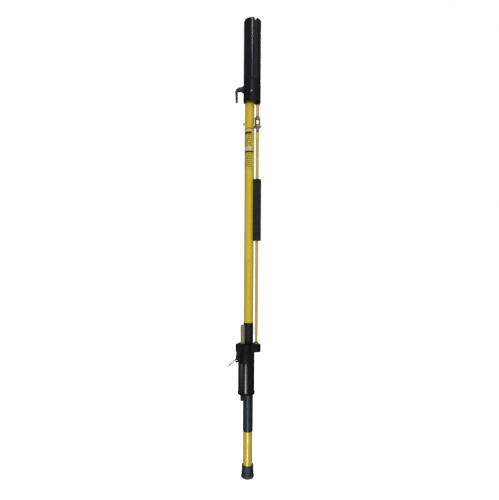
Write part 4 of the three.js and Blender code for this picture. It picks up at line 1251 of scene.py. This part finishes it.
def make_studio():
    scene = bpy.context.scene
    scene.view_settings.view_transform = "Standard"

    camera = bpy.data.objects.new("camera", bpy.data.cameras.new("camera"))
    scene.collection.objects.link(camera)
    scene.camera = camera
    distance, height = 1.330, 0.736
    roll = math.radians(0.35)
    camera.location = (0.0024, -distance, height)
    camera.rotation_euler = (math.pi / 2, -roll, 0)
    camera.data.lens = 27.7
    camera.data.sensor_width = 36
    camera.data.shift_y = 0.0278

    floor_bm = bmesh.new()
    bmesh.ops.create_circle(floor_bm, cap_ends=True, radius=40, segments=96)
    floor = new_object("floor", floor_bm)
    floor.name = "floor"
    pale = bpy.data.materials.new("pale_floor")
    pale.use_nodes = True
    shader = next(n for n in pale.node_tree.nodes if n.type == "BSDF_PRINCIPLED")
    shader.inputs["Base Color"].default_value = (0.6, 0.6, 0.6, 1)
    shader.inputs["Roughness"].default_value = 1.0
    shader.inputs["Specular IOR Level"].default_value = 0.0
    shader.inputs["Emission Color"].default_value = (1, 1, 1, 1)
    shader.inputs["Emission Strength"].default_value = 0.92
    floor.data.materials.append(pale)
    for ray in ("diffuse", "glossy", "shadow"):
        setattr(floor, "visible_" + ray, False)

    make_surroundings()
    lamp("front_box", (-0.05, -2.2, 0.85), (0, 0, 0.8), (1.1, 2.4), 38, glossy=False)
    lamp("back_box", (0.7, 2.2, 1.3), (0, 0, 0.8), (1.2, 2.0), 30, glossy=False)
    lamp("head_strip", (-0.062, -1.45, 2.66), (0, 0, 1.5), (0.14, 0.6), 5.2)
    lamp("head_glow", (-0.06, -1.45, 2.2), (0, 0, 1.4), (0.14, 0.5), 0.45, diffuse=False)
    lamp("side_glow", (1.3, -1.2, 2.5), (0, 0, 1.4), (1.4, 0.8), 1.1, diffuse=False)
    lamp("left_glow", (-0.85, -0.35, 0.2), (0, 0, 0.4), (0.6, 0.25), 0.55, diffuse=False)
    lamp("low_strip", (-0.08, -0.62, -0.12), (0, 0, 0.2), (0.19, 0.7), 5.6, diffuse=False)
    lamp("back_strip", (0.3, 1.6, 1.6), (0, 0, 0.8), (0.14, 1.6), 8)


def make_surroundings():
    """White for the camera, dim grey in reflections and a soft even fill for everything else."""
    world = bpy.data.worlds.new("studio")
    bpy.context.scene.world = world
    world.use_nodes = True
    nodes, links = world.node_tree.nodes, world.node_tree.links
    rays = nodes.new("ShaderNodeLightPath")

    def backdrop(*colour):
        made = nodes.new("ShaderNodeBackground")
        made.inputs["Color"].default_value = (*colour, 1)
        return made.outputs[0]

    def chosen(share, first, second):
        mix = nodes.new("ShaderNodeMixShader")
        for i, output in enumerate((rays.outputs[share], first, second)):
            links.new(output, mix.inputs[i])
        return mix.outputs[0]

    seen = chosen("Is Glossy Ray", backdrop(0.3, 0.3, 0.31), backdrop(0.07, 0.07, 0.074))
    seen = chosen("Is Camera Ray", seen, backdrop(1, 1, 1))
    output = next(n for n in nodes if n.type == "OUTPUT_WORLD")
    links.new(seen, output.inputs[0])


def lamp(name, place, aim, size, power, glossy=True, diffuse=True):
    """A soft rectangular light, hidden from the camera, and where asked from reflections or matt surfaces."""
    light = bpy.data.lights.new(name, "AREA")
    light.shape = "RECTANGLE"
    light.size, light.size_y = size
    light.energy = power
    made = bpy.data.objects.new(name, light)
    made.location = place
    made.rotation_euler = (Vector(aim) - Vector(place)).to_track_quat("-Z", "Y").to_euler()
    made.visible_camera = False
    made.visible_glossy = glossy
    made.visible_diffuse = diffuse
    bpy.context.scene.collection.objects.link(made)


# ---- the whole scene

make_studio()
make_finishes()
dress_hidden_nodes()
make_pole()
make_head()
make_hook()
make_rod()
make_handle()
make_lever()
make_lock()
